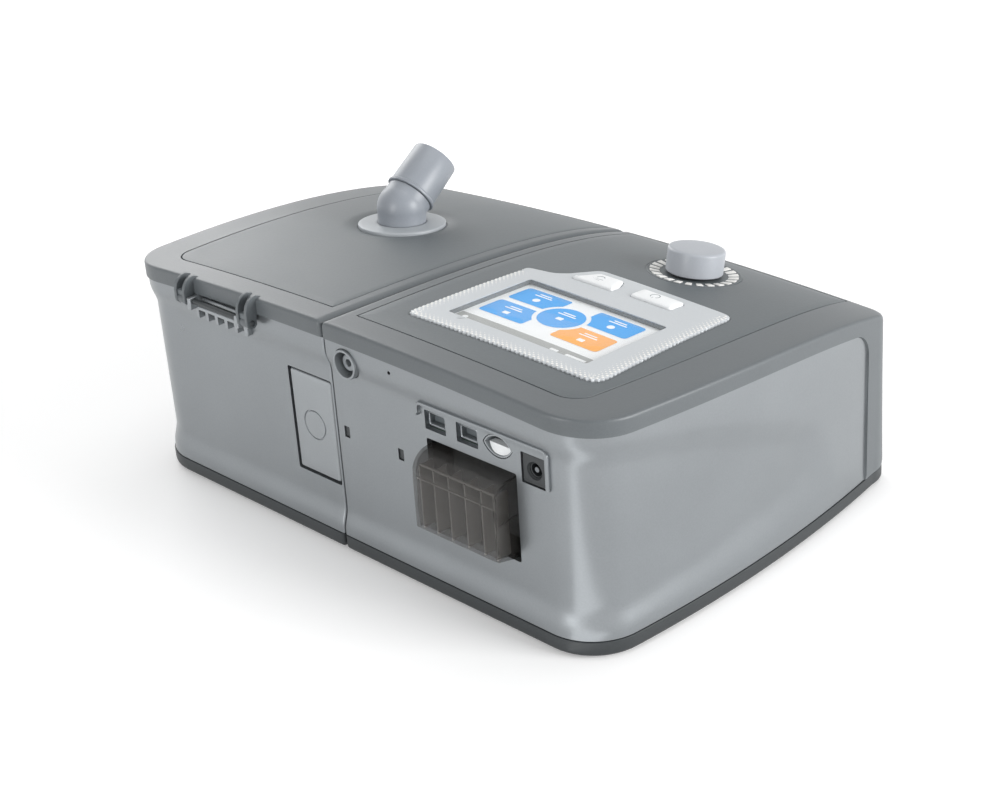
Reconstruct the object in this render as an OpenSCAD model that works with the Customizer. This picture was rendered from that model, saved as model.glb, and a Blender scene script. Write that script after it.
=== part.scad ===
/* [Body] */
// widest width over both modules
body_width = 291; // [284:0.5:300]
// depth from the front foot line to the back wall
body_depth = 196.4; // [190:0.5:204]
// height of the deck at its back edge, feet included
deck_height = 107.2; // [104:0.5:112]
// how far the deck falls to the front in a straight slope
deck_slope = 7.2; // [5:0.2:9]
// extra fall of the deck that grows towards the front
deck_curve = 12.8; // [10:0.2:15]
// last fall of the deck just behind the nose
deck_brow = 4.5; // [2:0.5:6]
// radius of the side to side arch of the deck
arch_radius = 1935; // [1700:5:2400]
// radius of the outward bow of both side walls in plan
side_bow = 650; // [500:10:1200]
// plan radius of the back corners
back_corner = 25; // [18:0.5:30]
// plan radius of the front corners
front_corner = 12; // [8:0.5:16]
// radius of the nose between deck and front face
nose_radius = 9; // [6:0.5:12]
// backward lean of the front face in degrees
front_lean = 4.2; // [2:0.2:6]
// offset of the split between the modules from the middle
seam_x = 4.2; // [2:0.2:8]
// gap between the two modules
seam_gap = 0.6; // [0.4:0.1:1]
// thickness of the housing walls
wall = 2.4; // [2:0.1:3]
// height of the dark lip of the top cover
lip_height = 7.3; // [6:0.1:9]
// how far the silver shell sits back from the lip
shell_inset = 0.9; // [0.5:0.1:1.5]
// depth of the soft recess in the back and the outer sides
recess_depth = 2.2; // [1:0.1:2.6]
// height of the rubber feet below the base
foot_height = 1.6; // [1.2:0.1:2.5]
// top of the dark base band
base_top = 8; // [7:0.5:10]
// front edge of the silver side at the base
side_front = 74.8; // [70:0.2:78]

/* [Fits] */
// radial clearance of running fits
run_fit = 0.05; // [0.02:0.01:0.1]
// gap between pieces that lie next to each other
part_gap = 0.3; // [0.2:0.05:0.5]
// gap round the parts that slide or press
slide_gap = 0.4; // [0.3:0.05:0.6]

/* [Deck] */
// depth of the inlay panels in the deck
panel_depth = 1.6; // [1.2:0.1:2]
// width of the thin line round the inlay panels
panel_line = 0.5; // [0.3:0.1:0.8]
// distance of the inlay from the seam side
panel_seam_edge = 6.8; // [5:0.2:9]
// distance of the inlay from the outer side
panel_side_edge = 19; // [15:0.5:22]
// distance of the inlay from the back
panel_back_edge = 13.4; // [11:0.2:16]

/* [Screen] */
// left edge of the silver screen frame
bezel_x0 = 17.6; // [15:0.2:20]
// right edge of the silver screen frame
bezel_x1 = 115.3; // [108:0.2:118]
// back edge of the silver screen frame
bezel_y1 = 69; // [64:0.5:74]
// front edge of the silver screen frame beside the buttons
bezel_y0 = -20.6; // [-22:0.2:-18]
// front edge of the short corner of the screen frame
bezel_notch_y = -1.8; // [-4:0.2:0]
// how far the screen frame stands above the deck
bezel_rise = 0.7; // [0.4:0.1:1.2]
// left edge of the glass
glass_x0 = 28.6; // [26:0.2:32]
// right edge of the glass
glass_x1 = 102.2; // [96:0.2:104]
// front edge of the glass
glass_y0 = 9.8; // [6:0.2:12]
// back edge of the glass
glass_y1 = 58.6; // [54:0.2:62]
// thickness of the glass
glass_thick = 1.2; // [0.8:0.1:2]
// travel of the two deck buttons
button_travel = 0.7; // [0.4:0.1:1]
// height of the two deck buttons above the screen frame
button_rise = 1.1; // [1:0.1:1.6]

/* [Knob] */
// diameter of the control knob
knob_d = 25; // [23:0.5:27]
// height of the control knob
knob_h = 11.2; // [10:0.2:13]
// distance of the knob from the middle
knob_x = 65.9; // [62:0.1:70]
// distance of the knob in front of the middle
knob_y = 53.4; // [50:0.1:55]
// forward tilt of the knob axis in degrees
knob_tilt = 9.5; // [8:0.5:11]
// press travel of the knob
knob_travel = 0.5; // [0.3:0.1:0.8]
// outer diameter of the ring of marks
marks_d = 38.4; // [36:0.2:41]
// number of marks round the knob
marks_count = 24; // [18:1:30]

/* [Outlet] */
// distance of the outlet axis from the middle
outlet_x = 72.5; // [68:0.5:76]
// distance of the outlet axis in front of the middle
outlet_y = 11.5; // [8:0.5:15]
// diameter of the round plate under the elbow
disc_d = 41.2; // [38:0.2:44]
// outer diameter of the elbow
elbow_d = 22.6; // [21:0.2:24]
// bore of the elbow
elbow_bore = 18; // [16:0.2:19]
// height of the elbow bend above the plate
bend_height = 7; // [5:0.5:10]
// forward tilt of the elbow axis in degrees
outlet_tilt = 6; // [5:0.5:7]
// rise of the outlet above the plate in degrees
outlet_rise = 41; // [32:1:50]
// outer diameter of the conical air outlet at its tip
cuff_d = 22; // [21.8:0.05:22.4]
// length of the air outlet sleeve
cuff_length = 22; // [20:0.5:26]

/* [Back] */
// left edge of the filter opening
filter_x0 = 50.2; // [48:0.2:53]
// right edge of the filter opening
filter_x1 = 98.2; // [95:0.2:100]
// height of the filter opening
filter_h = 38.8; // [36:0.2:41]
// distance of the filter opening below the deck
filter_drop = 36.2; // [35:0.2:40]
// how far the filter cover stands out of the back
cover_out = 7.5; // [6:0.5:10]
// gap between the filter cover and the outer side of its opening
cover_side_gap = 3.6; // [1:0.2:5]
// gap between the filter cover and the top of its opening
cover_top_gap = 3; // [1:0.2:4]
// pull-off travel of the filter cover
cover_travel = 22; // [15:1:30]
// width of the release plate on the humidifier
release_w = 26.6; // [22:0.2:28]
// height of the release plate
release_h = 47.8; // [44:0.2:50]
// distance of the release plate below the deck
release_drop = 28.9; // [27:0.1:31]
// press travel of the release plate
release_travel = 1; // [0.6:0.1:1.6]

/* [Hinge] */
// middle of the hinge from the middle of the body
hinge_x = 69.5; // [66:0.5:72]
// distance between the two pairs of hinge ears
hinge_span = 42.5; // [40:0.5:46]
// distance of the hinge axis below the deck
hinge_drop = 10.8; // [10.6:0.1:11.4]
// distance of the hinge axis behind the back wall
hinge_out = 3; // [2.8:0.1:3.4]
// diameter of the hinge pin
hinge_pin_d = 2.4; // [2:0.1:2.8]

/* [Inside] */
// outer radius of the blower housing
blower_r = 36; // [32:0.5:38]
// distance of the water tank from the outer side
tank_side = 17; // [15:1:21]
// depth of the water tank
tank_d = 136; // [124:1:140]
// distance of the air port below the deck
port_drop = 37.2; // [36:0.5:41]
// outer diameter of the air port between the modules
port_d = 20; // [16:0.5:22]

/* [Hidden] */

$fn = 48;
half_w = body_width / 2;
front_y = -body_depth / 2;
back_y = body_depth / 2;
side_mid = -10;
arch_low = arch_radius - deck_height;
main_side = -1;
humid_side = 1;
main_face = seam_x - seam_gap / 2;
humid_face = seam_x + seam_gap / 2;
nose_angle = 114;
nose_y = front_y + tan(front_lean) * 70 + nose_radius;
nose_z = deck_z(nose_y + nose_radius * cos(nose_angle)) - nose_radius * sin(nose_angle);
glass_gap = 0.25;
dial_recess = 0.8;
filter_w = filter_x1 - filter_x0;
filter_z1 = deck_height - filter_drop;
filter_z0 = filter_z1 - filter_h;
filter_mid_x = -(filter_x0 + filter_x1) / 2;
filter_mid_z = (filter_z0 + filter_z1) / 2;
release_z1 = deck_height - release_drop;
release_z0 = release_z1 - release_h;
hinge_y = back_y + hinge_out;
hinge_z = deck_height - hinge_drop;
blower_h = 30;
blower_x = main_face - blower_r - 25.9;
blower_y = 2;
blower_z = deck_height - blower_h - 23.2;
port_y = 28;
port_z = deck_height - port_drop;
tank_x = outlet_x;
tank_w = 2 * (half_w - tank_side - tank_x);
tank_y = -2;
tank_z = 17;
tank_h = deck_height - tank_z - 27.2;
tank_wall = 2;

// height of the deck over the middle at a given depth
function fall_t(y) = (back_y - y) / body_depth;
function deck_z(y) = deck_height - deck_slope * fall_t(y)
  - deck_curve * pow(fall_t(y), 3) - deck_brow * pow(fall_t(y), 7);
// height of the arched deck anywhere
function top_z(x, y) = deck_z(y) - x * x / (2 * arch_radius);
// half width of the bowed side wall
function side_x(y) = half_w - pow(y - side_mid, 2) / (2 * side_bow);
bow_angle = atan((back_y - back_corner - side_mid) / side_bow);
corner_y = back_y - back_corner;
corner_x = side_x(corner_y + back_corner * sin(bow_angle)) - back_corner * cos(bow_angle);
side_start = corner_y + back_corner * sin(bow_angle);

// plan of one module with an open front, w is the inset
function plan_points(s, face, w, w_face) = concat(
  [[face + s * w_face, front_y - 20], [face + s * w_face, back_y - w]],
  [for (i = [0:8]) let (a = 90 - i * (90 - bow_angle) / 8)
    [s * (corner_x + (back_corner - w) * cos(a)), corner_y + (back_corner - w) * sin(a)]],
  [for (i = [1:7]) let (y = side_start - i * (side_start - front_y + 20) / 7)
    [s * (side_x(y) - w), y]]);

// plan that only rounds the front corner
front_cx = side_x(front_y + front_corner) + 0.3 - front_corner;
front_out = 0.6;
function nose_points(s, face, w) = concat(
  [[face - s * 5, back_y + 20], [face - s * 5, front_y - front_out + w]],
  [for (i = [0:6]) let (a = -90 + i * 15)
    [s * (front_cx + (front_corner - w) * cos(a)),
      front_y - front_out + front_corner + (front_corner - w) * sin(a)]],
  [[s * (half_w + 3), front_y + 70], [s * (half_w + 3), back_y + 20]]);

// side view of the whole body, lowered and thinned by w
function deck_points(w) = concat(
  [[back_y + 8, -60], [back_y + 8, deck_z(back_y) - 8 - w],
    [back_y + 0.6, deck_z(back_y) - 2.4 - w],
    [back_y - 0.9, deck_z(back_y) - 0.5 - w], [back_y - 2.6, deck_z(back_y - 2.6) - w]],
  [for (i = [1:9]) let (y = back_y - 2.6 - i * (back_y - 2.6 - nose_y) / 9.4)
    [y, deck_z(y) - w]],
  [for (i = [0:5]) let (a = nose_angle + i * (180 - front_lean - nose_angle) / 5)
    [nose_y + (nose_radius - w) * cos(a), nose_z + (nose_radius - w) * sin(a)]],
  [[front_y + w, nose_z - (nose_y - nose_radius - front_y) / tan(front_lean)],
    [front_y + w, -60]]);

// moves the body so that its outer box is centred on the origin
module in_frame() {
  translate([0, -cover_out / 2, 0])
    children();
}

// turns a side view outline into a body with the side to side arch
module arch_sweep(points) {
  translate([0, 0, -arch_low])
    rotate([90, 0, 0])
      rotate([0, 0, 85])
        rotate_extrude(angle = 10, $fn = 540)
          polygon([for (p = points) [arch_low + p[1], -p[0]]]);
}

module body_solid(s, face, w, w_face) {
  intersection() {
    arch_sweep(deck_points(w));
    translate([0, 0, -20])
      linear_extrude(height = 160)
        polygon(plan_points(s, face, w, w_face));
    translate([0, front_y, 14])
      rotate([-front_lean, 0, 0])
        translate([0, -front_y, -40])
          linear_extrude(height = 150)
            polygon(nose_points(s, face, w));
  }
}

// everything below the lip of the cover, behind the front fascia
function under_points(gap) = concat(
  [[back_y + 12, -60], [back_y + 12, deck_z(back_y) - lip_height - gap]],
  [for (i = [0:8]) let (y = back_y - i * (back_y + side_front - 9) / 8)
    [y, deck_z(y) - lip_height - gap]],
  [[-side_front + 5.5 + gap, deck_z(-side_front + 5.5) - lip_height - 2.6 - gap],
    [-side_front + 3 + gap, deck_z(-side_front) - lip_height - 7 - gap],
    [-side_front + 2.2 + gap, deck_z(-side_front) - 30], [-side_front + gap, 8], [-side_front + gap, -60]]);

// lower line of the lid, from the back over the front edge
function lip_line(gap) = concat(
  [for (i = [0:8]) let (y = back_y - i * (back_y + side_front - 9) / 8)
    [y, deck_z(y) - lip_height - gap]],
  [[front_y + 14, deck_z(front_y + 14) - lip_height - gap],
    [front_y - 20, deck_z(front_y + 14) - lip_height - gap]]);

// slab between two depths under the deck, cut to the outline given
module deck_slab(top, bottom) {
  intersection() {
    arch_sweep(concat(
      [for (i = [0:8]) let (y = back_y + 4 - i * body_depth / 8.6) [y, deck_z(y) + top]],
      [for (i = [8:-1:0]) let (y = back_y + 4 - i * body_depth / 8.6)
        [y, deck_z(y) - bottom]]));
    linear_extrude(height = 140)
      children();
  }
}

// rectangle with rounded corners given by its edges
module round_rect(x0, y0, x1, y1, r) {
  translate([x0 + r, y0])
    square([x1 - x0 - 2 * r, y1 - y0]);
  translate([x0, y0 + r])
    square([x1 - x0, y1 - y0 - 2 * r]);
  for (x = [x0 + r, x1 - r])
    for (y = [y0 + r, y1 - r])
      translate([x, y])
        circle(r = r, $fn = 32);
}

// cylinder along the depth, from y0 to y1
module bar_y(x, z, d, y0, y1) {
  translate([x, y1, z])
    rotate([90, 0, 0])
      cylinder(d = d, h = y1 - y0);
}

// lens shaped bar along the depth, h is half its height
module lens_y(x, z, h, y0, y1) {
  intersection() {
    bar_y(x, z + lens_r - 4.9, 2 * (lens_r - 4.9 + h), y0, y1);
    bar_y(x, z - lens_r + 4.9, 2 * (lens_r - 4.9 + h), y0, y1);
  }
}

module bar_x(y, z, d, x0, x1) {
  translate([x0, y, z])
    rotate([0, 90, 0])
      cylinder(d = d, h = x1 - x0);
}

module box(x0, y0, z0, x1, y1, z1) {
  translate([x0, y0, z0])
    cube([x1 - x0, y1 - y0, z1 - z0]);
}

// ---- main unit ----

module base_tray(s, face) {
  difference() {
    intersection() {
      body_solid(s, face, 0.4, 0.2);
      box(-half_w - 5, front_y - 5, foot_height, half_w + 5, back_y + 5, base_top - part_gap);
    }
    intersection() {
      body_solid(s, face, 0.4 + wall, 0.2 + wall);
      box(-half_w - 5, front_y - 5, foot_height + wall, half_w + 5, back_y + 5, 40);
    }
    foot_places(s)
      cylinder(d = 14 + 0.2, h = 2 * foot_height);
    screw_places(s)
      translate([0, 0, foot_height - 1])
        cylinder(d = 6.4, h = 1 + 1.6);
  }
}

module foot_places(s) {
  for (x = [24, 122])
    for (y = [-76, 76])
      translate([s * x, y, 0])
        children();
}

module screw_places(s) {
  for (x = [40, 106])
    for (y = [-80, 80])
      translate([s * x, y, 0])
        children();
}

module main_base() {
  in_frame() color("#4a4e51")
    base_tray(main_side, main_face);
}

module main_foot() {
  in_frame() color("#2b2d2f") {
    foot_places(main_side)
      cylinder(d = 14, h = 2 * foot_height - 0.1);
  }
}

module base_screws(s) {
  screw_places(s)
    difference() {
      translate([0, 0, foot_height - 0.1])
        cylinder(d = 6, h = 1.6);
      translate([-2, -0.4, foot_height - 0.3])
        cube([4, 0.8, 1]);
      translate([-0.4, -2, foot_height - 0.3])
        cube([0.8, 4, 1]);
    }
}

module main_screw() {
  in_frame() color("#b9bcc0")
    base_screws(main_side);
}

module humidifier_screw() {
  in_frame() color("#b9bcc0")
    base_screws(humid_side);
}

module main_shell() {
  in_frame() color("#b3b7ba")
    difference() {
      union() {
        difference() {
          intersection() {
            body_solid(main_side, main_face, shell_inset, 0);
            arch_sweep(under_points(part_gap));
            box(-half_w - 5, front_y - 5, base_top, half_w + 5, back_y + 5, 130);
          }
          side_recess();
          back_recess(main_side, main_face);
        }
        port_rib();
      }
      body_solid(main_side, main_face, shell_inset + recess_depth + wall, wall);
      // filter opening
      translate([filter_mid_x, back_y, filter_mid_z])
        rotate([90, 0, 0])
          translate([0, 0, -5])
            linear_extrude(height = 15)
              round_rect(-filter_w / 2, -filter_h / 2, filter_w / 2, filter_h / 2, 1);
      // data sockets
      for (x = data_x)
        box(x - 5.7, back_y - 10, data_z - 4.2, x + 5.7, back_y + 5, data_z + 4.2);
      lens_y(sensor_x, sensor_z, 4.9, back_y - 10, back_y + 5);
      box(power_x - 6.5, back_y - 10, power_z - 6.5, power_x + 6.5, back_y + 5, power_z + 6.5);
      bar_y(coax_x, coax_z, 13.6, back_y - 10, back_y + 5);
      bar_y(pin_hole_x, pin_hole_z, 1.6, back_y - 10, back_y + 5);
      for (x = contact_x)
        box(x - 1.6, back_y - 10, contact_z - 2.6, x + 1.6, back_y + 5, contact_z + 2.6);
      // air port to the humidifier
      bar_x(port_y, port_z, port_d + 0.6, main_face - 10, main_face + 10);
    }
}

// face of the silver back wall above the recess and inside it
lens_r = 8.5;
rim_y = back_y - shell_inset;
wall_y = rim_y - recess_depth;
power_x = -half_w + 38;
power_z = deck_height - 31.9;
sensor_x = power_x + 18.3;
data_x = [power_x + 51.7, power_x + 34.4];
data_z = deck_height - 28;
sensor_z = data_z + 0.6;
coax_x = main_face - 12.1;
coax_z = deck_height - 15.9;
contact_x = [main_face - 6, main_face - 38.2];
contact_z = deck_height - 49.2;
pin_hole_x = main_face - 37.9;
pin_hole_z = deck_height - 12.2;

// raised rib that runs over the ports and turns down at both ends
module port_rib() {
  x0 = power_x - 8;
  x1 = data_x[0] + 9.4;
  z1 = data_z + 7.5;
  translate([0, wall_y + 1.6, 0])
    rotate([90, 0, 0])
      linear_extrude(height = 3)
        difference() {
          union() {
            round_rect(x0, z1 - 17, x1, z1, 3);
            translate([x0, z1 - 17])
              square([4, 4]);
          }
          round_rect(x0 + 1.5, z1 - 19, x1 - 1.5, z1 - 1.5, 2);
          translate([x0 + 3, z1 - 30])
            square([x1 - x0 + 10, 24]);
        }
}

// shallow recess on the outer side, drawn for the main unit
module side_recess() {
  difference() {
    translate([-half_w - 10, 0, 0])
      rotate([90, 0, 90])
        linear_extrude(height = 30)
          scale(deck_height)
            polygon([[0.74, 0.802], [0.289, 0.7], [-0.252, 0.504], [-0.308, 0.429],
              [-0.326, 0.28], [-0.27, 0.22], [0.13, 0.168], [0.74, 0.15]]);
    translate([0, 0, -5])
      linear_extrude(height = 130)
        polygon(plan_points(main_side, 60, shell_inset + recess_depth, 0));
  }
}

// the same recess across the back and round its corner, with sloped borders
module back_recess(s, face) {
  high = deck_height * 0.802;
  low = deck_height * 0.17;
  slope = deck_height * 0.07;
  difference() {
    intersection() {
      translate([-half_w - 5, 0, 0])
        rotate([90, 0, 90])
          linear_extrude(height = body_width + 10)
            polygon([[back_y + 2, high + slope], [rim_y, high + slope],
              [wall_y, high],
              [corner_y + 4, high], [corner_y + 4, low],
              [wall_y, low], [rim_y, low - slope], [back_y + 2, low - slope]]);
      box(-half_w - 5, corner_y + 4.5, 0, half_w + 5, back_y + 5, 130);
    }
    translate([0, 0, -5])
      linear_extrude(height = 140)
        polygon(plan_points(s, face - s * 20, shell_inset + recess_depth, 0));
  }
}

module main_cover() {
  in_frame() color("#5f6467")
    difference() {
      body_solid(main_side, main_face, 0, 0);
      body_solid(main_side, main_face, wall, wall);
      arch_sweep(under_points(0));
      box(-half_w - 5, front_y - 5, -30, half_w + 5, back_y + 5, base_top);
      deck_slab(5, panel_depth)
        panel_outline(main_side, main_face, 0);
      // openings for the screen frame and the knob stem
      linear_extrude(height = 140)
        bezel_outline(2.2);
      knob_axis()
        translate([0, 0, -12])
          cylinder(d = 12, h = 30);
    }
}

// inlay of a module in plan, g makes it smaller
module panel_outline(s, face, g) {
  intersection() {
    polygon(plan_points(s, face, panel_side_edge + g, panel_seam_edge + g));
    translate([-200, nose_y - 3 + g])
      square([400, back_y - panel_back_edge - 2 * g - nose_y + 3 + g]);
    union() {
      polygon(concat(
        [[face, front_y], [face, back_y - panel_back_edge - g]],
        [for (i = [0:6]) let (a = 90 - i * 15)
          [s * (side_x(60) - panel_side_edge - 13 + (11 - g) * cos(a)),
            back_y - panel_back_edge - 11 + (11 - g) * sin(a)]],
        [[s * (half_w - panel_side_edge - 1), back_y - panel_back_edge - 30],
          [s * (half_w - panel_side_edge), front_y]]));
    }
  }
}

module main_panel() {
  in_frame() color("#6c7174")
    difference() {
      deck_slab(0, panel_depth - 0.05)
        panel_outline(main_side, main_face, panel_line);
      linear_extrude(height = 140)
        bezel_outline(-0.2);
      knob_axis() {
        translate([0, 0, -dial_recess])
          cylinder(d = marks_d + 3.2, h = 20, $fn = 96);
        translate([0, 0, -12])
          cylinder(d = 12, h = 30);
      }
    }
}

// silver frame in plan with its short front corner, g makes it smaller
module bezel_outline(g) {
  difference() {
    round_rect(-bezel_x1 + g, bezel_y0 + g, -bezel_x0 - g, bezel_y1 - g, 5);
    polygon([[0, bezel_notch_y + g], [-bezel_x0 - 12.5, bezel_notch_y - 1 + g],
      [-bezel_x0 - 17.5 - g, bezel_notch_y - 5.5], [-bezel_x0 - 25 - g, bezel_y0 - 1],
      [-bezel_x0 - 25 - g, bezel_y0 - 10], [0, bezel_y0 - 10]]);
  }
}

module left_button_outline(g) {
  polygon([[-39.4 - g, -3.3 - g], [-62 + g, -3.3 - g], [-62 + g, -9],
    [-59 + g, -15.4 + g], [-46.2 - g, -15.4 + g]]);
}

module right_button_outline(g) {
  round_rect(-92 + g, -14.8 + g, -70.2 - g, -4.5 - g, 2);
}

module screen_bezel() {
  in_frame() color("#c6cacd")
    difference() {
      deck_slab(bezel_rise, panel_depth - 0.05)
        bezel_outline(0);
      linear_extrude(height = 140) {
        round_rect(-glass_x1, glass_y0, -glass_x0, glass_y1, 2);
        left_button_outline(0);
        right_button_outline(0);
      }
    }
}

module screen_glass() {
  in_frame() color("#dfe6ea")
    deck_slab(bezel_rise - 0.3, panel_depth - 0.05)
      round_rect(-glass_x1 + glass_gap, glass_y0 + glass_gap, -glass_x0 - glass_gap,
        glass_y1 - glass_gap, 1.8);
}

module screen_display() {
  in_frame() color("#f4f6f7")
    deck_slab(-panel_depth - 0.05, panel_depth + 3.4)
      round_rect(-glass_x1 - 1.5, glass_y0 - 1.5, -glass_x0 + 1.5, glass_y1 + 1.5, 1);
}

module control_board() {
  in_frame() color("#2f6b46")
    difference() {
      deck_slab(-panel_depth - 3.5, panel_depth + 5.1)
        translate([-bezel_x1 - 0.7, front_y + 32.2])
          square([bezel_x1 - 11.3, body_depth - 62.4]);
      knob_axis()
        translate([0, 0, -30])
          cylinder(d = 10, h = 40);
    }
}

module deck_button(x, y) {
  // cap with a stem that reaches down to its switch on the board
  deck_slab(bezel_rise + button_rise, panel_depth - 0.6)
    children();
  translate([x, y, top_z(x, y) - panel_depth - 3.4 + button_travel + 0.1])
    cylinder(d = 3, h = 4.3 - button_travel);
}

module button_left() {
  in_frame() color("#e2e5e7")
    deck_button(-52.5, -9)
      left_button_outline(slide_gap);
}

module button_right() {
  in_frame() color("#e2e5e7")
    deck_button(-81, -9.6)
      right_button_outline(slide_gap);
}

// places children on the tilted knob axis, z = 0 at the deck
module knob_axis() {
  translate([-knob_x, -knob_y, top_z(knob_x, -knob_y)])
    rotate([knob_tilt, -asin(knob_x / arch_radius), 0])
      children();
}

module knob() {
  in_frame() color("#a3a8b0")
    knob_axis()
      difference() {
        union() {
          translate([0, 0, 0.4])
            cylinder(d = knob_d, h = knob_h - 1.2, $fn = 96);
          translate([0, 0, knob_h - 0.8])
            cylinder(d1 = knob_d, d2 = knob_d - 1.6, h = 0.8, $fn = 96);
        }
        translate([0, 0, -1])
          cylinder(d = knob_d - 4, h = 1 + 0.4 + 5, $fn = 64);
        translate([0, 0, 1])
          cylinder(d = 6 + 2 * run_fit, h = knob_h - 3.5);
      }
}

module knob_stem() {
  in_frame() color("#8d9095")
    knob_axis() {
      translate([0, 0, -9.5])
        cylinder(d = 6, h = 9.5 + knob_h - 2.6);
    }
}

module knob_encoder() {
  in_frame() color("#3c4043")
    knob_axis()
      difference() {
        translate([-7, -7, -11.6])
          cube([14, 14, 4.6]);
        translate([0, 0, -9.5 - knob_travel - 0.2])
          cylinder(d = 6 + 2 * run_fit, h = 10);
      }
}

module knob_marks() {
  in_frame() color("#d3d6d8")
    knob_axis() {
      difference() {
        translate([0, 0, -dial_recess])
          cylinder(d = marks_d + 2.8, h = 0.4, $fn = 96);
        translate([0, 0, -dial_recess - 1])
          cylinder(d = 13, h = 3);
      }
      for (i = [0:marks_count - 1])
        rotate([0, 0, i * 360 / marks_count])
          translate([-0.6, knob_d / 2 + 2.6, -dial_recess + 0.2])
            cube([1.2, marks_d / 2 - knob_d / 2 - 2.6, 0.7]);
    }
}

module muffler() {
  in_frame() color("#565a5e")
    difference() {
      box(-half_w + 47.5, front_y + 62.2, foot_height + wall, main_face - 21.9, box_y - 3, blower_z);
      // pocket of the motor and the air path from the filter
      translate([blower_x, blower_y, blower_z - 20])
        cylinder(d = 34, h = 30);
      box(filter_mid_x - 17, box_y - 21, 20, filter_mid_x + 15, box_y + 2, filter_z0 + 10.8);
    }
}

module blower_housing() {
  in_frame() color("#d8dadb")
    difference() {
      union() {
        translate([blower_x, blower_y, blower_z])
          cylinder(r = blower_r, h = blower_h, $fn = 96);
        box(blower_x, port_y - 11, port_z - 11, main_face - 19.9, port_y + 10, port_z + 11);
      }
      translate([blower_x, blower_y, blower_z + 3])
        cylinder(r = blower_r - 2.5, h = blower_h - 6, $fn = 96);
      bar_x(port_y, port_z, port_d - 4, blower_x, main_face - 3);
      bar_x(port_y, port_z, port_d + 0.2, main_face - 27.9, main_face - 3);
      translate([blower_x, blower_y, blower_z - 1])
        cylinder(d = 8, h = 6);
      translate([blower_x, blower_y, blower_z + blower_h - 6])
        cylinder(d = 26, h = 10);
    }
}

module blower_impeller() {
  in_frame() color("#3e78a8")
    translate([blower_x, blower_y, 0])
      difference() {
        union() {
          translate([0, 0, blower_z + 9])
            cylinder(r = blower_r - 7, h = 1.6, $fn = 72);
          translate([0, 0, blower_z + 9])
            cylinder(d = 16, h = 12);
          for (i = [0:11])
            rotate([0, 0, i * 30])
              translate([9, -3, blower_z + 9])
                rotate([0, 0, -28])
                  cube([blower_r - 18, 1.4, 10]);
        }
        translate([0, 0, blower_z])
          cylinder(d = 3, h = 16);
      }
}

module blower_motor() {
  in_frame() color("#7a7f85")
    translate([blower_x, blower_y, 0]) {
      translate([0, 0, blower_z - 20])
        cylinder(d = 30, h = 19.6);
      translate([0, 0, blower_z - 1])
        cylinder(d = 3 - 2 * run_fit, h = 16.8);
    }
}

// front wall of the filter box
box_y = back_y - 55.2;
module filter_box() {
  in_frame() color("#3a3d40")
    difference() {
      box(filter_mid_x - filter_w / 2 - 2, box_y, filter_z0 - 2, filter_mid_x + filter_w / 2 + 2,
        wall_y - wall - part_gap, filter_z1 + 2);
      box(filter_mid_x - filter_w / 2, box_y + 2, filter_z0, filter_mid_x + filter_w / 2,
        back_y, filter_z1);
      box(filter_mid_x - 15, box_y - 3, filter_z0 + 2.8, filter_mid_x + 13, box_y + 7,
        filter_z0 + 10.6);
    }
  in_frame() color("#3a3d40")
    difference() {
      box(filter_mid_x - 16.5, box_y - 2.8, filter_z0 + 1.3, filter_mid_x + 14.5, box_y + 0.1,
        filter_z0 + 10.7);
      box(filter_mid_x - 15, box_y - 4, filter_z0 + 2.8, filter_mid_x + 13, box_y + 7,
        filter_z0 + 9.2);
    }
}

module filter_pad() {
  in_frame() color("#d9dcdb")
    box(filter_mid_x - filter_w / 2 + 0.3, back_y - 22.2, filter_z0,
      filter_mid_x + filter_w / 2 - 0.3, back_y - 16.2, filter_z1 - 0.3);
}

module filter_cover() {
  // smoke cover with a curved top, hollow to the inside, with three ribs
  x0 = -filter_x1 + cover_side_gap;
  x1 = -filter_x0 - slide_gap;
  z0 = filter_z0 + slide_gap;
  z1 = filter_z1 - cover_top_gap;
  y0 = back_y - 14.2;
  y1 = back_y + cover_out;
  in_frame() color("#5a5b5c")
    difference() {
      cover_block(x0, x1, z0, z1, y0, y1, 0);
      cover_block(x0, x1, z0, z1, y0 - 2, y1, 1.6);
    }
  in_frame() color("#5a5b5c")
    for (i = [1:3])
      intersection() {
        cover_block(x0, x1, z0, z1, y0, y1, 0.4);
        box(x0 + i * (x1 - x0) / 4 - 0.7, back_y - 6, z0 + 3, x0 + i * (x1 - x0) / 4 + 0.7,
          y1 - 1, z1);
      }
}

module cover_block(x0, x1, z0, z1, y0, y1, w) {
  intersection() {
    // side view: upright front with a curved top
    translate([x0 + w, 0, 0])
      rotate([90, 0, 90])
        linear_extrude(height = x1 - x0 - 2 * w)
          polygon([[y0, z0 + w], [wall_y, z0 + w], [y1 - 2.4 - w, z0 + 2.4 + w],
            [y1 - 0.6 - w, z0 + 3.8 + w], [y1 - w, z0 + 6], [y1 - w, z1 - 9.5],
            [y1 - 1.2 - w, z1 - 5.6], [y1 - 4 - w * 0.8, z1 - 2.4 - w * 0.6],
            [y1 - 8.5, z1 - 0.4 - w], [back_y - 5, z1 - w], [y0, z1 - w]]);
    // plan view: corners cut towards the outside
    linear_extrude(height = 120)
      polygon([[x0 + w, y0], [x1 - w, y0], [x1 - w, y1 - 2.4 - w],
        [x1 - 0.8 - w * 0.6, y1 - 0.8 - w], [x1 - 3, y1 - w], [x0 + 3, y1 - w],
        [x0 + 0.8 + w * 0.6, y1 - 0.8 - w], [x0 + w, y1 - 2.4 - w]]);
  }
}

module power_inlet() {
  in_frame() color("#303336")
    difference() {
      box(power_x - 6.2, back_y - 16.2, power_z - 6.2, power_x + 6.2, wall_y - 0.3,
        power_z + 6.2);
      bar_y(power_x, power_z, 6.4, back_y - 13.2, back_y + 5);
    }
}

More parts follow.
